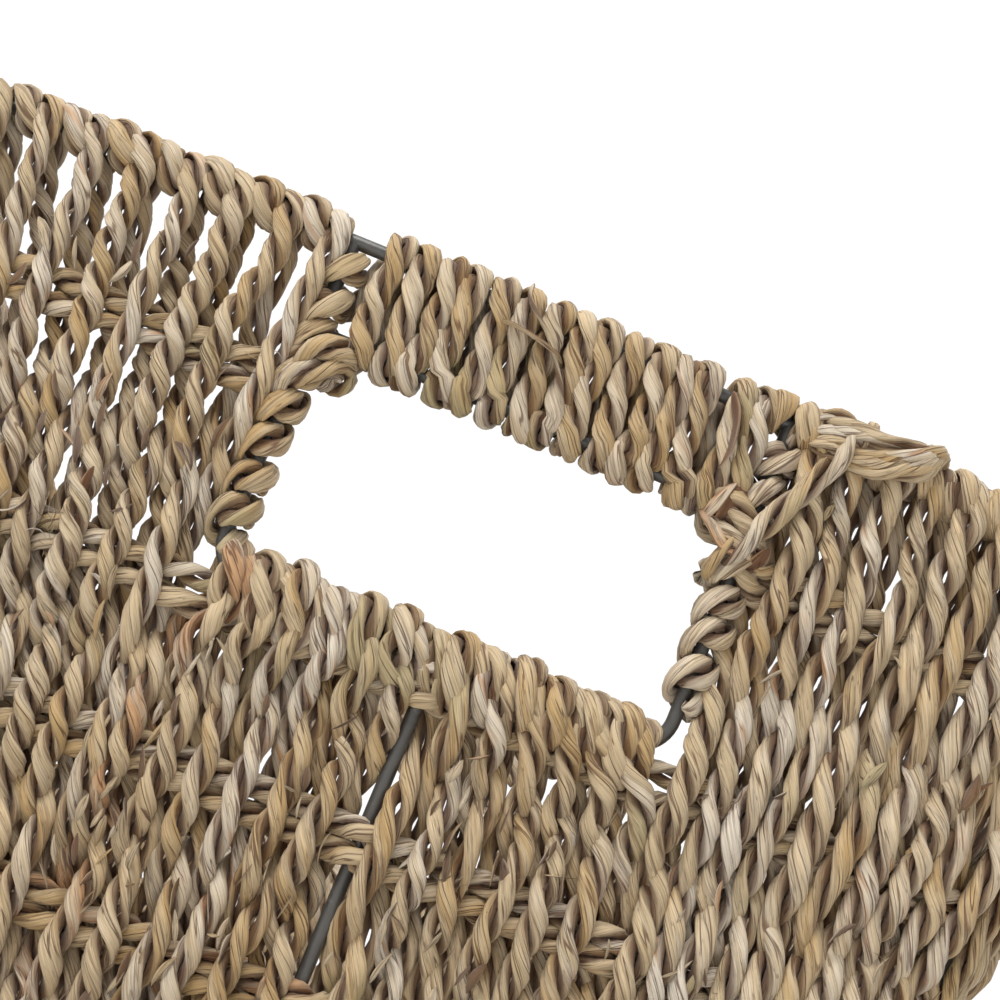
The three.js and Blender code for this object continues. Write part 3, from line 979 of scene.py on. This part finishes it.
class Strays:
    """Loose blades, wisps and cord ends that stand off the weave."""

    blade_count = 420
    tuft_count = 12
    single_wisps = 90

    def __init__(self, wall: Wall, weave: WeaveSize) -> None:
        """Keeps the wall they lie on."""
        self.wall = wall
        self.weave = weave

    def _lay(
        self, mesh: CordMesh, route: Array, kind: CordKind, lay: float = 1.0, thick: float = 1.0
    ) -> None:
        """Adds a strand along a route on the wall, its flat side out."""
        mesh.add_on(self.wall, route, facing_at(np.zeros(len(route))), kind, 1.0, lay, thick)

    def _on_end(self, places: list[tuple[float, float, float]]) -> Array:
        """A smooth route through places on the front end wall.

        Args:
            places: Width to the left of its middle, distance out and height of each.

        Returns:
            The route as rows of length, distance out and height.
        """
        route = curved(np.array(places), 10)
        route[:, 0] = -self.wall.length_at(route[:, 0], route[:, 2])
        return route

    def blades(self, seed: int, material: Material) -> Piece:
        """Blades that have worked loose all over the walls, most of them along the uprights."""
        mesh = CordMesh(seed)
        mesh.browned = 0.1
        rng = mesh.rng
        end = float(self.wall.length_at(100.0, np.array(self.weave.rows[0])))
        for number in range(self.blade_count):
            length = rng.uniform(-1.7 * end, 1.7 * end) if number % 2 else rng.uniform(0, self.wall.around)
            under = abs(math.remainder(length, self.wall.half)) < 0.78 * end
            z = rng.uniform(22, 130 if under else 228)
            reach, lean = rng.uniform(4, 11), rng.normal(0.2, 0.35)
            rise, curl = rng.uniform(0.0, 1.7), rng.normal(0, 0.09)
            share = np.linspace(0, 1, 8)
            angle = lean + curl * share * 3
            down = rng.choice([-1.0, 1.0])
            out = 6.3 + rise * np.sin(share * math.pi * rng.uniform(0.4, 0.8))
            along = length + reach * share * np.sin(angle)
            route = np.column_stack([along, out, z + down * reach * share * np.cos(angle)])
            self._lay(mesh, route, LEAF, thick=rng.uniform(0.4, 1.2))
        return mesh.build("loose_blades", material, Slot.WEAVE, [])

    def wisps(self, seed: int, material: Material) -> Piece:
        """Fine fibres, in tufts where cords end at the handles and singly elsewhere."""
        mesh = CordMesh(seed)
        rng = mesh.rng
        half = self.wall.half
        tufts = [(0.0, 73.0, 203.0), (0.0, -66.0, 204.0), (half, 73.0, 203.0), (half, -70.0, 203.0)]
        tufts += [(0.0, 120.0, 140.0), (0.0, -95.0, 140.0), (0.0, -30.0, 96.0), (0.0, 60.0, 52.0)]
        for base, width, z in tufts:
            for _ in range(self.tuft_count):
                self._add_wisp(mesh, base + width + rng.normal(0, 2.5), z + rng.normal(0, 3.0))
        for _ in range(self.single_wisps):
            self._add_wisp(mesh, rng.uniform(0, 2 * half), rng.uniform(25, 135))
        return mesh.build("wisps", material, Slot.WEAVE, [])

    def _add_wisp(self, mesh: CordMesh, length: float, z: float) -> None:
        """Adds a fine fibre that bends away from the wall."""
        rng = mesh.rng
        reach, heading = rng.uniform(3, 8), rng.uniform(0, 2 * math.pi)
        share = np.linspace(0, 1, 7)
        turned = heading + rng.normal(0, 0.8) * share
        out = 6.0 + rng.uniform(0.5, 2.5) * share
        along = length + reach * share * np.cos(turned)
        self._lay(mesh, np.column_stack([along, out, z + reach * share * np.sin(turned)]), WISP)

    def front_ends(self, seed: int, material: Material) -> Piece:
        """The cord ends tied off round the front handle."""
        size = self.wall.size
        rim, bar, row = size.rim_z, size.bar_z, self.weave.rows[0]
        mesh = CordMesh(seed)
        mesh.browned = 0.0
        for lift, side in ((0.0, 0.0), (-2.2, 1.5), (2.6, -1.0), (-4.0, 0.5), (4.8, 1.0)):
            ends = [
                (70.0 + side, 5.0, rim - 1 + lift),
                (77.0, 8.2, rim - 1.8 + lift),
                (88.0, 9.0, rim - 2.9 + 0.9 * lift),
                (96.0, 8.8, rim - 0.8 + 0.7 * lift),
                (102.0, 8.0, rim + 2.0 + 0.6 * lift),
                (104.5 + side, 3.5, rim + 6.2),
                (105.5 + side, -4.0, rim + 4.0),
            ]
            self._lay(mesh, self._on_end(ends), FINE, 1.5, 0.86)
        tie = [
            (86.0, -2.0, rim + 6.0),
            (84.0, 6.0, rim + 4.0),
            (80.0, 9.0, rim - 6.0),
            (73.0, 8.8, rim - 20.0),
            (66.0, 8.4, rim - 34.0),
            (60.5, 6.5, rim - 43.0),
            (58.5, 0.0, rim - 46.0),
            (61.0, -6.0, rim - 44.0),
            (68.0, -6.5, rim - 40.0),
        ]
        self._lay(mesh, self._on_end(tie), FINE, 1.2, 1.05)
        angle = np.linspace(-0.6 * math.pi, 3.0 * math.pi, 60)
        z = rim + 5.2 * np.sin(angle)
        route = np.column_stack([-self.wall.length_at(angle * 2.0 + 59.0, z), 5.2 * np.cos(angle), z])
        mesh.add_on(self.wall, route, facing_at(angle), FINE, 0.7, 1.1, 1.05)
        string = [(-15.0, 2.0, rim + 7.5), (-14.0, 8.4, rim), (-4.2, 9.4, rim - 9.5), (5.8, 8.2, bar + 3)]
        self._lay(mesh, self._on_end(string), STRING)
        strap = [(-19.0, 4.5, rim - 7.5), (-15.0, 8.6, rim - 8.2)]
        strap += [(-3.5, 8.8, rim - 10.5), (0.5, 5.0, rim - 11.5)]
        self._lay(mesh, self._on_end(strap), STRAP)
        mesh.browned = 1.0
        for start in (53.5, 57.0):
            angle = np.linspace(-0.3 * math.pi, 2.0 * math.pi, 30)
            z = bar - 2.0 - 1.2 * angle + 8.0 * np.sin(angle)
            route = np.column_stack([-self.wall.length_at(start + 2.2 * angle, z), 7.4 * np.cos(angle), z])
            mesh.add_on(self.wall, route, facing_at(angle), STRAP, thick=1.15)
        browned = [(46.0, 7.5, rim - 1), (49.5, 8.6, rim - 8), (51.0, 8.4, rim - 16), (50.0, 6.0, rim - 22)]
        self._lay(mesh, self._on_end(browned), STRAP, thick=0.8)
        tail = [(66.0, 5.0, row + 6), (60.0, 7.6, row + 3), (54.0, 6.4, row + 8), (50.0, 3.0, row + 12)]
        self._lay(mesh, self._on_end(tail), STRAP, thick=0.9)
        return mesh.build("front_cord_ends", material, Slot.BINDING, [])


class Wires:
    """The welded frame, each wire bent from round steel."""

    def __init__(self, wall: Wall, material: Material) -> None:
        """Keeps the wall the wires stand in and their finish."""
        self.wall = wall
        self.material = material

    def _bend(self, name: str, points: Array, closed: bool, nodes: list[str]) -> Piece:
        """Draws a curve through points, gives it a round section and makes it a mesh."""
        bpy.ops.object.select_all(action="DESELECT")
        curve = bpy.data.curves.new(name, "CURVE")
        curve.dimensions = "3D"
        curve.bevel_depth = WIRE_RADIUS * METRES
        curve.bevel_resolution = 6
        curve.use_fill_caps = True
        spline = curve.splines.new("POLY")
        spline.points.add(len(points) - 1)
        spline.points.foreach_set("co", np.column_stack([points * METRES, np.ones(len(points))]).ravel())
        spline.use_cyclic_u = closed
        piece = bpy.data.objects.new(name, curve)
        bpy.context.scene.collection.objects.link(piece)
        bpy.context.view_layer.objects.active = piece
        piece.select_set(True)
        bpy.ops.object.convert(target="MESH")
        piece = bpy.context.view_layer.objects.active
        piece.name = name
        piece.data.name = name
        piece.data.shade_smooth()
        piece.data.materials.clear()
        piece.data.materials.append(self.material)
        return on_frame(piece, Slot.WIRE, nodes)

    def _upright(self, name: str, length: float, top: float) -> None:
        """A straight wire from the base wire up to another."""
        z = np.array([self.wall.size.base_z, top])
        route = np.column_stack([np.full(2, length), np.zeros(2), z])
        self._bend(f"{name}_rod", self.wall.place(route), False, [name])

    def rings(self) -> None:
        """The rim wire and the base wire."""
        length = np.linspace(0, self.wall.around, 480, endpoint=False)
        for name, z in (("rim_wire", self.wall.size.rim_z), ("base_wire", self.wall.size.base_z)):
            route = np.column_stack([length, np.zeros_like(length), np.full_like(length, z)])
            self._bend(f"{name}_rod", self.wall.place(route), True, [name])

    def uprights(self) -> None:
        """The corner, side and end posts."""
        size, wall = self.wall.size, self.wall
        half = wall.half
        corners = {
            "front_right": wall.corner_post,
            "back_right": half - wall.corner_post,
            "back_left": half + wall.corner_post,
            "front_left": 2 * half - wall.corner_post,
        }
        for name, length in corners.items():
            self._upright(f"corner_post_{name}", length, size.rim_z)
        self._upright("side_post_right", wall.quarter, size.rim_z)
        self._upright("side_post_left", 3 * wall.quarter, size.rim_z)
        self._upright("end_post_front", 0.0, size.lower_z)
        self._upright("end_post_back", half, size.lower_z)

    def handle(self, base: float, name: str) -> None:
        """The handle wire and the bar under the grip."""
        size, wall = self.wall.size, self.wall
        bend = size.handle_bend
        inner = size.half_handle - bend
        bend_z = size.lower_z + bend
        turn = np.linspace(math.pi, 1.5 * math.pi, 12)
        left = np.column_stack([-inner + bend * np.cos(turn), bend_z + bend * np.sin(turn)])
        middle = np.column_stack([np.linspace(-inner, inner, 14)[1:-1], np.full(12, size.lower_z)])
        rise = np.linspace(bend_z, size.rim_z, 12)[1:]
        right_up = np.column_stack([np.full(11, size.half_handle), rise])
        left_down = np.column_stack([np.full(11, -size.half_handle), rise[::-1]])
        path = np.vstack([left_down, left, middle, left[::-1] * [-1, 1], right_up])
        length = base + np.sign(path[:, 0]) * wall.length_at(np.abs(path[:, 0]), path[:, 1])
        route = np.column_stack([length, np.zeros(len(path)), path[:, 1]])
        self._bend(f"handle_wire_{name}_rod", wall.place(route), False, [f"handle_wire_{name}"])
        width = np.linspace(-size.half_handle, size.half_handle, 20)
        z = np.full_like(width, size.bar_z)
        length = base + np.sign(width) * wall.length_at(np.abs(width), z)
        route = np.column_stack([length, np.zeros_like(width), z])
        self._bend(f"handle_bar_{name}_rod", wall.place(route), False, [f"handle_bar_{name}"])

    def braces(self) -> None:
        """The two wires that cross under the base."""
        size = self.wall.size
        low = size.base_z - WIRE_RADIUS + 0.7
        high = low + 2 * WIRE_RADIUS + 0.1
        x, y = size.half_length - size.taper, size.half_width - size.taper
        ends = {"long": [[-x, 0, low], [x, 0, low]], "cross": [[0, -y, high], [0, y, high]]}
        for name, points in ends.items():
            self._bend(f"base_brace_{name}_rod", np.array(points), False, [f"base_brace_{name}"])


Socket = bpy.types.NodeSocket
Value = Socket | float
Colour = tuple[float, float, float, float]
Shade = Socket | Colour


class Nodes:
    """Short ways to add and join shader nodes in one tree."""

    def __init__(self, tree: bpy.types.NodeTree) -> None:
        """Works on one node tree."""
        self.tree = tree

    def add(self, kind: str, **settings: object) -> bpy.types.Node:
        """Adds a node and sets its properties."""
        node = self.tree.nodes.new(kind)
        for name, value in settings.items():
            setattr(node, name, value)
        return node

    def join(self, source: Socket, target: Socket) -> None:
        """Links an output to an input."""
        self.tree.links.new(source, target)

    def math(self, operation: str, first: Value, second: Value | None = None) -> Socket:
        """A math node on sockets or numbers."""
        node = self.add("ShaderNodeMath", operation=operation)
        for socket, value in zip(node.inputs, (first, second)):
            if isinstance(value, Socket):
                self.join(value, socket)
            elif value is not None:
                socket.default_value = value
        return node.outputs[0]

    def times(self, first: Value, second: Value) -> Socket:
        """One value times another."""
        return self.math("MULTIPLY", first, second)

    def plus(self, first: Value, second: Value) -> Socket:
        """One value and another together."""
        return self.math("ADD", first, second)

    def minus(self, first: Value, second: Value) -> Socket:
        """One value less another."""
        return self.math("SUBTRACT", first, second)

    def noise(self, vector: Socket, scale: float, detail: float, roughness: float = 0.55) -> Socket:
        """A noise texture's value."""
        node = self.add("ShaderNodeTexNoise")
        node.inputs["Scale"].default_value = scale
        node.inputs["Detail"].default_value = detail
        node.inputs["Roughness"].default_value = roughness
        self.join(vector, node.inputs["Vector"])
        return node.outputs["Fac"]

    def ramp(self, factor: Socket, low: float, high: float) -> Socket:
        """A mask that rises from 0 at low to 1 at high."""
        node = self.add("ShaderNodeMapRange", interpolation_type="SMOOTHSTEP")
        node.inputs["From Min"].default_value = low
        node.inputs["From Max"].default_value = high
        self.join(factor, node.inputs["Value"])
        return node.outputs["Result"]

    def mix(self, factor: Value, first: Shade, second: Shade, blend: str = "MIX") -> Socket:
        """Mixes two colours, each a socket or a colour."""
        node = self.add("ShaderNodeMix", data_type="RGBA", blend_type=blend)
        for socket, value in ((node.inputs[0], factor), (node.inputs[6], first), (node.inputs[7], second)):
            if isinstance(value, Socket):
                self.join(value, socket)
            else:
                socket.default_value = value
        return node.outputs[2]

    def grey(self, value: Socket) -> Socket:
        """A value as a grey colour."""
        joined = self.add("ShaderNodeCombineColor")
        for socket in joined.inputs:
            self.join(value, socket)
        return joined.outputs[0]

    def bump(self, height: Socket, strength: float, distance: float, normal: Socket) -> None:
        """Joins a height to a shader's normal."""
        bump = self.add("ShaderNodeBump")
        bump.inputs["Strength"].default_value = strength
        bump.inputs["Distance"].default_value = distance
        self.join(height, bump.inputs["Height"])
        self.join(bump.outputs[0], normal)


def colour(red: int, green: int, blue: int) -> Colour:
    """A display colour, 0 to 255, as the shader's linear one."""
    return tuple((value / 255) ** 2.2 for value in (red, green, blue)) + (1.0,)


def new_material(name: str) -> tuple[Material, Nodes, bpy.types.bpy_prop_collection]:
    """A material with its nodes and its shader's inputs."""
    material = bpy.data.materials.new(name)
    material.use_nodes = True
    surface = material.node_tree.nodes["Principled BSDF"]
    return material, Nodes(material.node_tree), surface.inputs


@dataclass(frozen=True)
class SeagrassFinish:
    """Dried seagrass: straw and khaki blades with fine lengthwise fibres, some browned or greenish, and
    painted shade on the side of each ply that faces the other.

    A grain is how many marks there are in 100 mm of a ply and once round it.
    """

    name: str
    pale: Colour = colour(216, 203, 184)
    straw: Colour = colour(202, 179, 144)
    khaki: Colour = colour(187, 155, 107)
    brown: Colour = colour(180, 127, 73)
    green: Colour = colour(160, 149, 108)
    # Dark colour of the fibre streaks, fold lines and splits, also mixed in as painted shade on the side of
    # each ply that faces the other ply.
    dark_fibre_and_shade: Colour = colour(84, 45, 13)
    roughness: float = 0.62
    fibre_grain: Two = (5.0, 13.0)
    thread_grain: Two = (12.0, 40.0)
    blade_grain: Two = (5.0, 3.2)
    patch_grain: Two = (9.0, 4.0)
    fold_grain: Two = (3.6, 5.4)
    split_grain: Two = (8.0, 15.0)

    def group(self) -> bpy.types.NodeTree:
        """The node group that makes its colour, roughness and height from the ply's map."""
        made = bpy.data.node_groups.get("seagrass_blades")
        if made:
            return made
        tree = bpy.data.node_groups.new("seagrass_blades", "ShaderNodeTree")
        for way, name, kind in (
            ("INPUT", "Map", "Vector"),
            ("INPUT", "Place", "Vector"),
            ("INPUT", "Strand", "Float"),
            ("OUTPUT", "Colour", "Color"),
            ("OUTPUT", "Roughness", "Float"),
            ("OUTPUT", "Height", "Float"),
        ):
            tree.interface.new_socket(name, in_out=way, socket_type=f"NodeSocket{kind}")
        self._fill(Nodes(tree))
        return tree

    def _fill(self, nodes: Nodes) -> None:
        """Adds the group's nodes."""
        given = nodes.add("NodeGroupInput").outputs
        split = nodes.add("ShaderNodeSeparateXYZ")
        nodes.join(given["Map"], split.inputs[0])
        around, strand = split.outputs[1], given["Strand"]
        ply = (split.outputs[0], around, strand)
        fibres = self._stretched(nodes, ply, self.fibre_grain)
        threads = self._stretched(nodes, ply, self.thread_grain)
        blades = self._stretched(nodes, ply, self.blade_grain)
        broad = nodes.noise(blades, 1.0, 2.0, 0.5)
        blades_seen = nodes.noise(self._stretched(nodes, ply, self.patch_grain), 1.0, 1.0)
        coarse = nodes.noise(fibres, 1.0, 4.0, 0.6)
        fine = nodes.noise(threads, 1.0, 3.0, 0.65)
        folds = self._lines(nodes, nodes.noise(self._stretched(nodes, ply, self.fold_grain), 1.0, 1.5))
        splits = self._lines(nodes, nodes.noise(self._stretched(nodes, ply, self.split_grain), 1.0, 1.0))
        splits = nodes.times(splits, nodes.ramp(blades_seen, 0.42, 0.6))
        folds = nodes.times(folds, nodes.ramp(blades_seen, 0.66, 0.45))
        patch = nodes.noise(given["Place"], 26.0, 2.0, 0.5)
        spread = nodes.math("MINIMUM", strand, 1.0)
        tone = nodes.plus(nodes.times(spread, 0.5), nodes.times(broad, 0.8))
        tone = nodes.plus(tone, nodes.times(nodes.minus(patch, 0.5), 0.5))
        shade = nodes.mix(nodes.ramp(tone, 0.28, 0.62), self.khaki, self.straw)
        shade = nodes.mix(nodes.ramp(tone, 0.62, 1.02), shade, self.pale)
        brown = nodes.times(nodes.ramp(broad, 0.58, 0.72), nodes.ramp(strand, 0.5, 0.95))
        browned = nodes.times(nodes.ramp(strand, 1.1, 1.3), nodes.ramp(broad, 0.3, 0.55))
        brown = nodes.math("MAXIMUM", brown, browned)
        shade = nodes.mix(nodes.times(brown, 0.8), shade, self.brown)
        green = nodes.times(nodes.ramp(patch, 0.52, 0.66), nodes.ramp(strand, 0.35, 0.0))
        shade = nodes.mix(nodes.times(green, 0.6), shade, self.green)
        streak = nodes.ramp(coarse, 0.47, 0.33)
        shade = nodes.mix(nodes.times(streak, 0.4), shade, self.dark_fibre_and_shade)
        shade = nodes.mix(nodes.times(folds, 0.75), shade, self.dark_fibre_and_shade)
        shade = nodes.mix(nodes.times(splits, 0.45), shade, self.dark_fibre_and_shade)
        light = nodes.plus(nodes.times(fine, 1.3), 0.34)
        shade = nodes.mix(1.0, shade, nodes.grey(light), "MULTIPLY")
        # Painted shade: the side of each ply that faces the other ply of its cord, where the plies press
        # together, is mixed towards the dark colour.
        inner = nodes.times(nodes.math("ABSOLUTE", nodes.minus(around, 0.5)), 2.0)
        depth = nodes.ramp(inner, 0.38, 0.85)
        shade = nodes.mix(nodes.times(depth, 0.8), shade, self.dark_fibre_and_shade)
        rough = nodes.plus(nodes.times(fine, 0.28), self.roughness - 0.14)
        height = nodes.plus(nodes.times(coarse, 0.6), nodes.times(fine, 0.3))
        height = nodes.minus(height, nodes.times(folds, 0.5))
        height = nodes.minus(height, nodes.times(splits, 0.22))
        result = nodes.add("NodeGroupOutput").inputs
        nodes.join(shade, result["Colour"])
        nodes.join(rough, result["Roughness"])
        nodes.join(height, result["Height"])

    def _lines(self, nodes: Nodes, value: Socket) -> Socket:
        """A mask of thin lines, where a noise passes its middle value."""
        apart = nodes.math("ABSOLUTE", nodes.minus(value, 0.5))
        return nodes.ramp(apart, 0.028, 0.004)

    def _stretched(self, nodes: Nodes, ply: tuple[Socket, Socket, Socket], grain: Two) -> Socket:
        """The ply's map with its length and its turn scaled apart, shifted for each strand."""
        joined = nodes.add("ShaderNodeCombineXYZ")
        for given, scale, socket in zip(ply, (*grain, 37.0), joined.inputs):
            nodes.join(nodes.times(given, scale), socket)
        return joined.outputs[0]

    def material(self) -> Material:
        """The finish as a material."""
        material, nodes, surface = new_material(self.name)
        blades = nodes.add("ShaderNodeGroup", node_tree=self.group())
        nodes.join(nodes.add("ShaderNodeUVMap", uv_map="ply").outputs[0], blades.inputs["Map"])
        nodes.join(nodes.add("ShaderNodeTexCoord").outputs["Object"], blades.inputs["Place"])
        strand = nodes.add("ShaderNodeAttribute", attribute_name="strand")
        nodes.join(strand.outputs["Fac"], blades.inputs["Strand"])
        nodes.join(blades.outputs["Colour"], surface["Base Color"])
        nodes.join(blades.outputs["Roughness"], surface["Roughness"])
        surface["Specular IOR Level"].default_value = 0.35
        surface["Sheen Weight"].default_value = 0.12
        surface["Sheen Roughness"].default_value = 0.5
        nodes.bump(blades.outputs["Height"], 0.8, 0.001, surface["Normal"])
        return material


@dataclass(frozen=True)
class WireFinish:
    """Dark grey coated steel, a little uneven and rubbed."""

    name: str = "coated_wire"
    dark: Colour = colour(92, 90, 87)
    rubbed: Colour = colour(132, 129, 124)
    roughness: float = 0.38

    def material(self) -> Material:
        """The finish as a material."""
        material, nodes, surface = new_material(self.name)
        place = nodes.add("ShaderNodeTexCoord").outputs["Object"]
        cloud = nodes.noise(place, 60.0, 4.0, 0.6)
        grain = nodes.noise(place, 900.0, 3.0, 0.6)
        rub = nodes.times(nodes.ramp(cloud, 0.52, 0.7), nodes.ramp(grain, 0.45, 0.65))
        nodes.join(nodes.mix(nodes.times(rub, 0.7), self.dark, self.rubbed), surface["Base Color"])
        rough = nodes.plus(nodes.times(grain, 0.25), self.roughness - 0.12)
        nodes.join(rough, surface["Roughness"])
        surface["Metallic"].default_value = 0.35
        nodes.bump(grain, 0.25, 0.0002, surface["Normal"])
        return material


@dataclass(frozen=True)
class StudioSize:
    """Where things are in the studio: the floor and lights in metres, the view in millimetres and degrees.

    fill is how bright the surroundings are as light, and seen is how bright they look. The camera's distance
    and aim are from the rim wire's end.
    """

    floor: float = 12.0
    fill: float = 0.43
    seen: float = 1.05
    light_aim: float = 0.15
    camera_distance: float = 480.0
    camera_z: float = 8.0
    aim: tuple[float, float, float] = (-6.0, -0.7, 192.0)
    roll: float = 22.8
    span: float = 268.0


class Studio:
    """The pale floor, the soft light and the camera close to the floor in front of one handle."""

    lights = (
        ("key_light", (1.0, -0.55, 1.25), 0.7, 17.8),
        ("back_light", (-1.2, 0.8, 1.2), 1.2, 9.0),
        ("top_light", (0.0, 0.0, 3.0), 5.0, 42.0),
    )

    def __init__(self, size: FrameSize, room: StudioSize) -> None:
        """Keeps the basket's size, which the camera is placed by, and the studio's."""
        self.size = size
        self.room = room

    def floor(self) -> None:
        """A pale floor under the basket."""
        bpy.ops.object.select_all(action="DESELECT")
        bpy.ops.mesh.primitive_plane_add(size=self.room.floor, location=(0, 0, 0))
        floor = bpy.context.active_object
        floor.name = "floor"
        material, nodes, surface = new_material("floor_paint")
        place = nodes.add("ShaderNodeTexCoord").outputs["Object"]
        cloud = nodes.noise(place, 3.0, 4.0, 0.5)
        nodes.join(nodes.mix(cloud, colour(236, 236, 234), colour(243, 243, 242)), surface["Base Color"])
        surface["Roughness"].default_value = 0.7
        floor.data.materials.append(material)

    def light(self) -> None:
        """White surroundings with a wide light above and two smaller ones from in front and behind."""
        scene = bpy.context.scene
        world = bpy.data.worlds.new("studio")
        world.use_nodes = True
        nodes = Nodes(world.node_tree)
        seen = nodes.add("ShaderNodeLightPath").outputs["Is Camera Ray"]
        background = world.node_tree.nodes["Background"]
        background.inputs["Color"].default_value = (1, 1, 1, 1)
        strength = nodes.plus(nodes.times(seen, self.room.seen - self.room.fill), self.room.fill)
        nodes.join(strength, background.inputs["Strength"])
        scene.world = world
        scene.view_settings.view_transform = "Standard"
        for name, place, size, power in self.lights:
            self._area(name, place, size, power)

    def _area(self, name: str, place: tuple[float, float, float], size: float, power: float) -> None:
        """A square light aimed at the basket's middle."""
        data = bpy.data.lights.new(name, "AREA")
        data.size = size
        data.energy = power
        lamp = bpy.data.objects.new(name, data)
        lamp.location = place
        aim = Vector((0, 0, self.room.light_aim)) - Vector(place)
        lamp.rotation_euler = aim.to_track_quat("-Z", "Y").to_euler()
        bpy.context.scene.collection.objects.link(lamp)

    def camera(self) -> None:
        """A camera near the floor, looking up at the handle and tilted on its side a little."""
        end, room = self.size.half_length, self.room
        place = Vector((end + room.camera_distance, 0.0, room.camera_z)) * METRES
        aim = Vector((end + room.aim[0], room.aim[1], room.aim[2])) * METRES
        roll = math.radians(room.roll)
        forward = (aim - place).normalized()
        right = forward.cross(Vector((0, 0, 1))).normalized()
        up = right.cross(forward)
        across = math.cos(roll) * right + math.sin(roll) * up
        top = -math.sin(roll) * right + math.cos(roll) * up
        data = bpy.data.cameras.new("camera")
        span = room.span * METRES
        data.lens = data.sensor_width / 2 / (span / 2 / (aim - place).length)
        data.clip_start = 0.01
        camera = bpy.data.objects.new("camera", data)
        basis = Matrix((across, top, -forward)).transposed().to_4x4()
        camera.matrix_world = Matrix.Translation(place) @ basis
        bpy.context.scene.collection.objects.link(camera)
        bpy.context.scene.camera = camera


class Basket:
    """The whole basket, built part by part on the frame."""

    def __init__(self) -> None:
        """Reads the frame and makes the finishes."""
        self.size = FrameSize.from_frame()
        self.wall = Wall(self.size)
        self.weave = WeaveSize()
        self.grass = SeagrassFinish("seagrass_cord").material()
        self.wire = WireFinish().material()

    def stretches(self) -> list[Stretch]:
        """The lengths of wall between uprights, all round and under the handles."""
        half = self.wall.half
        corners = (
            ("front", "right", 0.0, 1),
            ("back", "right", half, -1),
            ("back", "left", half, 1),
            ("front", "left", self.wall.around, -1),
        )
        made = []
        for end, side, base, sign in corners:
            made.append(Stretch(f"{end}_{side}", base, sign, "end"))
            made.append(Stretch(f"{side}_{end}", base, sign, "side"))
            made.append(Stretch(f"{end}_lower_{side}", base, sign, "lower"))
        return made

    def walls(self) -> None:
        """Weaves every stretch and lays the rows through them."""
        weavers = []
        for number, stretch in enumerate(self.stretches()):
            front = stretch.name.startswith("front")
            weaver = Weaver(self.wall, self.weave, stretch, FINE if front else PLAIN, 100 + number)
            mesh = weaver.weave_all()
            self._cover_posts(weaver)
            nodes = [f"wall_{stretch.name}"]
            if stretch.under_handle:
                nodes.append(f"lower_binding_{stretch.name.replace('_lower', '')}")
            else:
                nodes += [f"rim_binding_{stretch.name}", f"base_binding_{stretch.name}"]
            mesh.build(f"weave_{stretch.name}", self.grass, Slot.WEAVE, nodes)
            weavers.append(weaver)
        half, corner = self.wall.half, self.wall.corner_post
        posts = [0.0, corner, self.wall.quarter, half - corner]
        posts += [half + post for post in posts]
        rows = Rows(self.wall, self.weave, weavers, posts)
        for row in range(len(self.weave.rows)):
            rows.build(row, PLAIN, 300 + row, self.grass)

    def _cover_posts(self, weaver: Weaver) -> None:
        """Adds a turn over the joint where the stretch begins, so that each joint is covered once."""
        stretch = weaver.stretch
        start, end = stretch.edges(self.wall, self.weave, np.array(weaver.top_z))
        if stretch.kind == "side":
            weaver.add_post_cord(stretch.base + stretch.sign * self.wall.corner_post)
            if stretch.sign > 0:
                weaver.add_post_turn(float(end) + self.weave.post_space)
        elif stretch.kind == "lower" and stretch.sign > 0:
            weaver.add_post_turn(float(start) - self.weave.post_space)

    def handles(self) -> None:
        """The grips and side windings of both ends."""
        ends = (("front", 0.0, ("left", "right")), ("back", self.wall.half, ("right", "left")))
        for number, (name, base, sides) in enumerate(ends):
            kind = FINE if name == "front" else PLAIN
            handle = Handle(self.wall, HandleSize(), base, name, sides)
            handle.grip(kind, 400 + number, self.grass)
            handle.side_winding(0, kind, 410 + number, self.grass)
            handle.side_winding(1, kind, 420 + number, self.grass)

    def base(self) -> None:
        """The woven base."""
        BaseWeave(self.wall, self.weave, BaseSize()).build(HIDDEN, 500, self.grass)

    def strays(self) -> None:
        """Loose blades, wisps and tied-off ends."""
        strays = Strays(self.wall, self.weave)
        strays.blades(600, self.grass)
        strays.wisps(601, self.grass)
        strays.front_ends(602, self.grass)

    def wires(self) -> None:
        """The welded wires."""
        wires = Wires(self.wall, self.wire)
        wires.rings()
        wires.uprights()
        wires.handle(0.0, "front")
        wires.handle(self.wall.half, "back")
        wires.braces()


def main() -> None:
    """Builds the basket and its studio."""
    logging.basicConfig(level=logging.INFO, format="%(message)s")
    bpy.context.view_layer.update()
    basket = Basket()
    for build in (basket.wires, basket.walls, basket.handles, basket.base, basket.strays):
        build()
    studio = Studio(basket.size, StudioSize())
    for build in (studio.floor, studio.light, studio.camera):
        build()


if __name__ == "__main__":
    main()
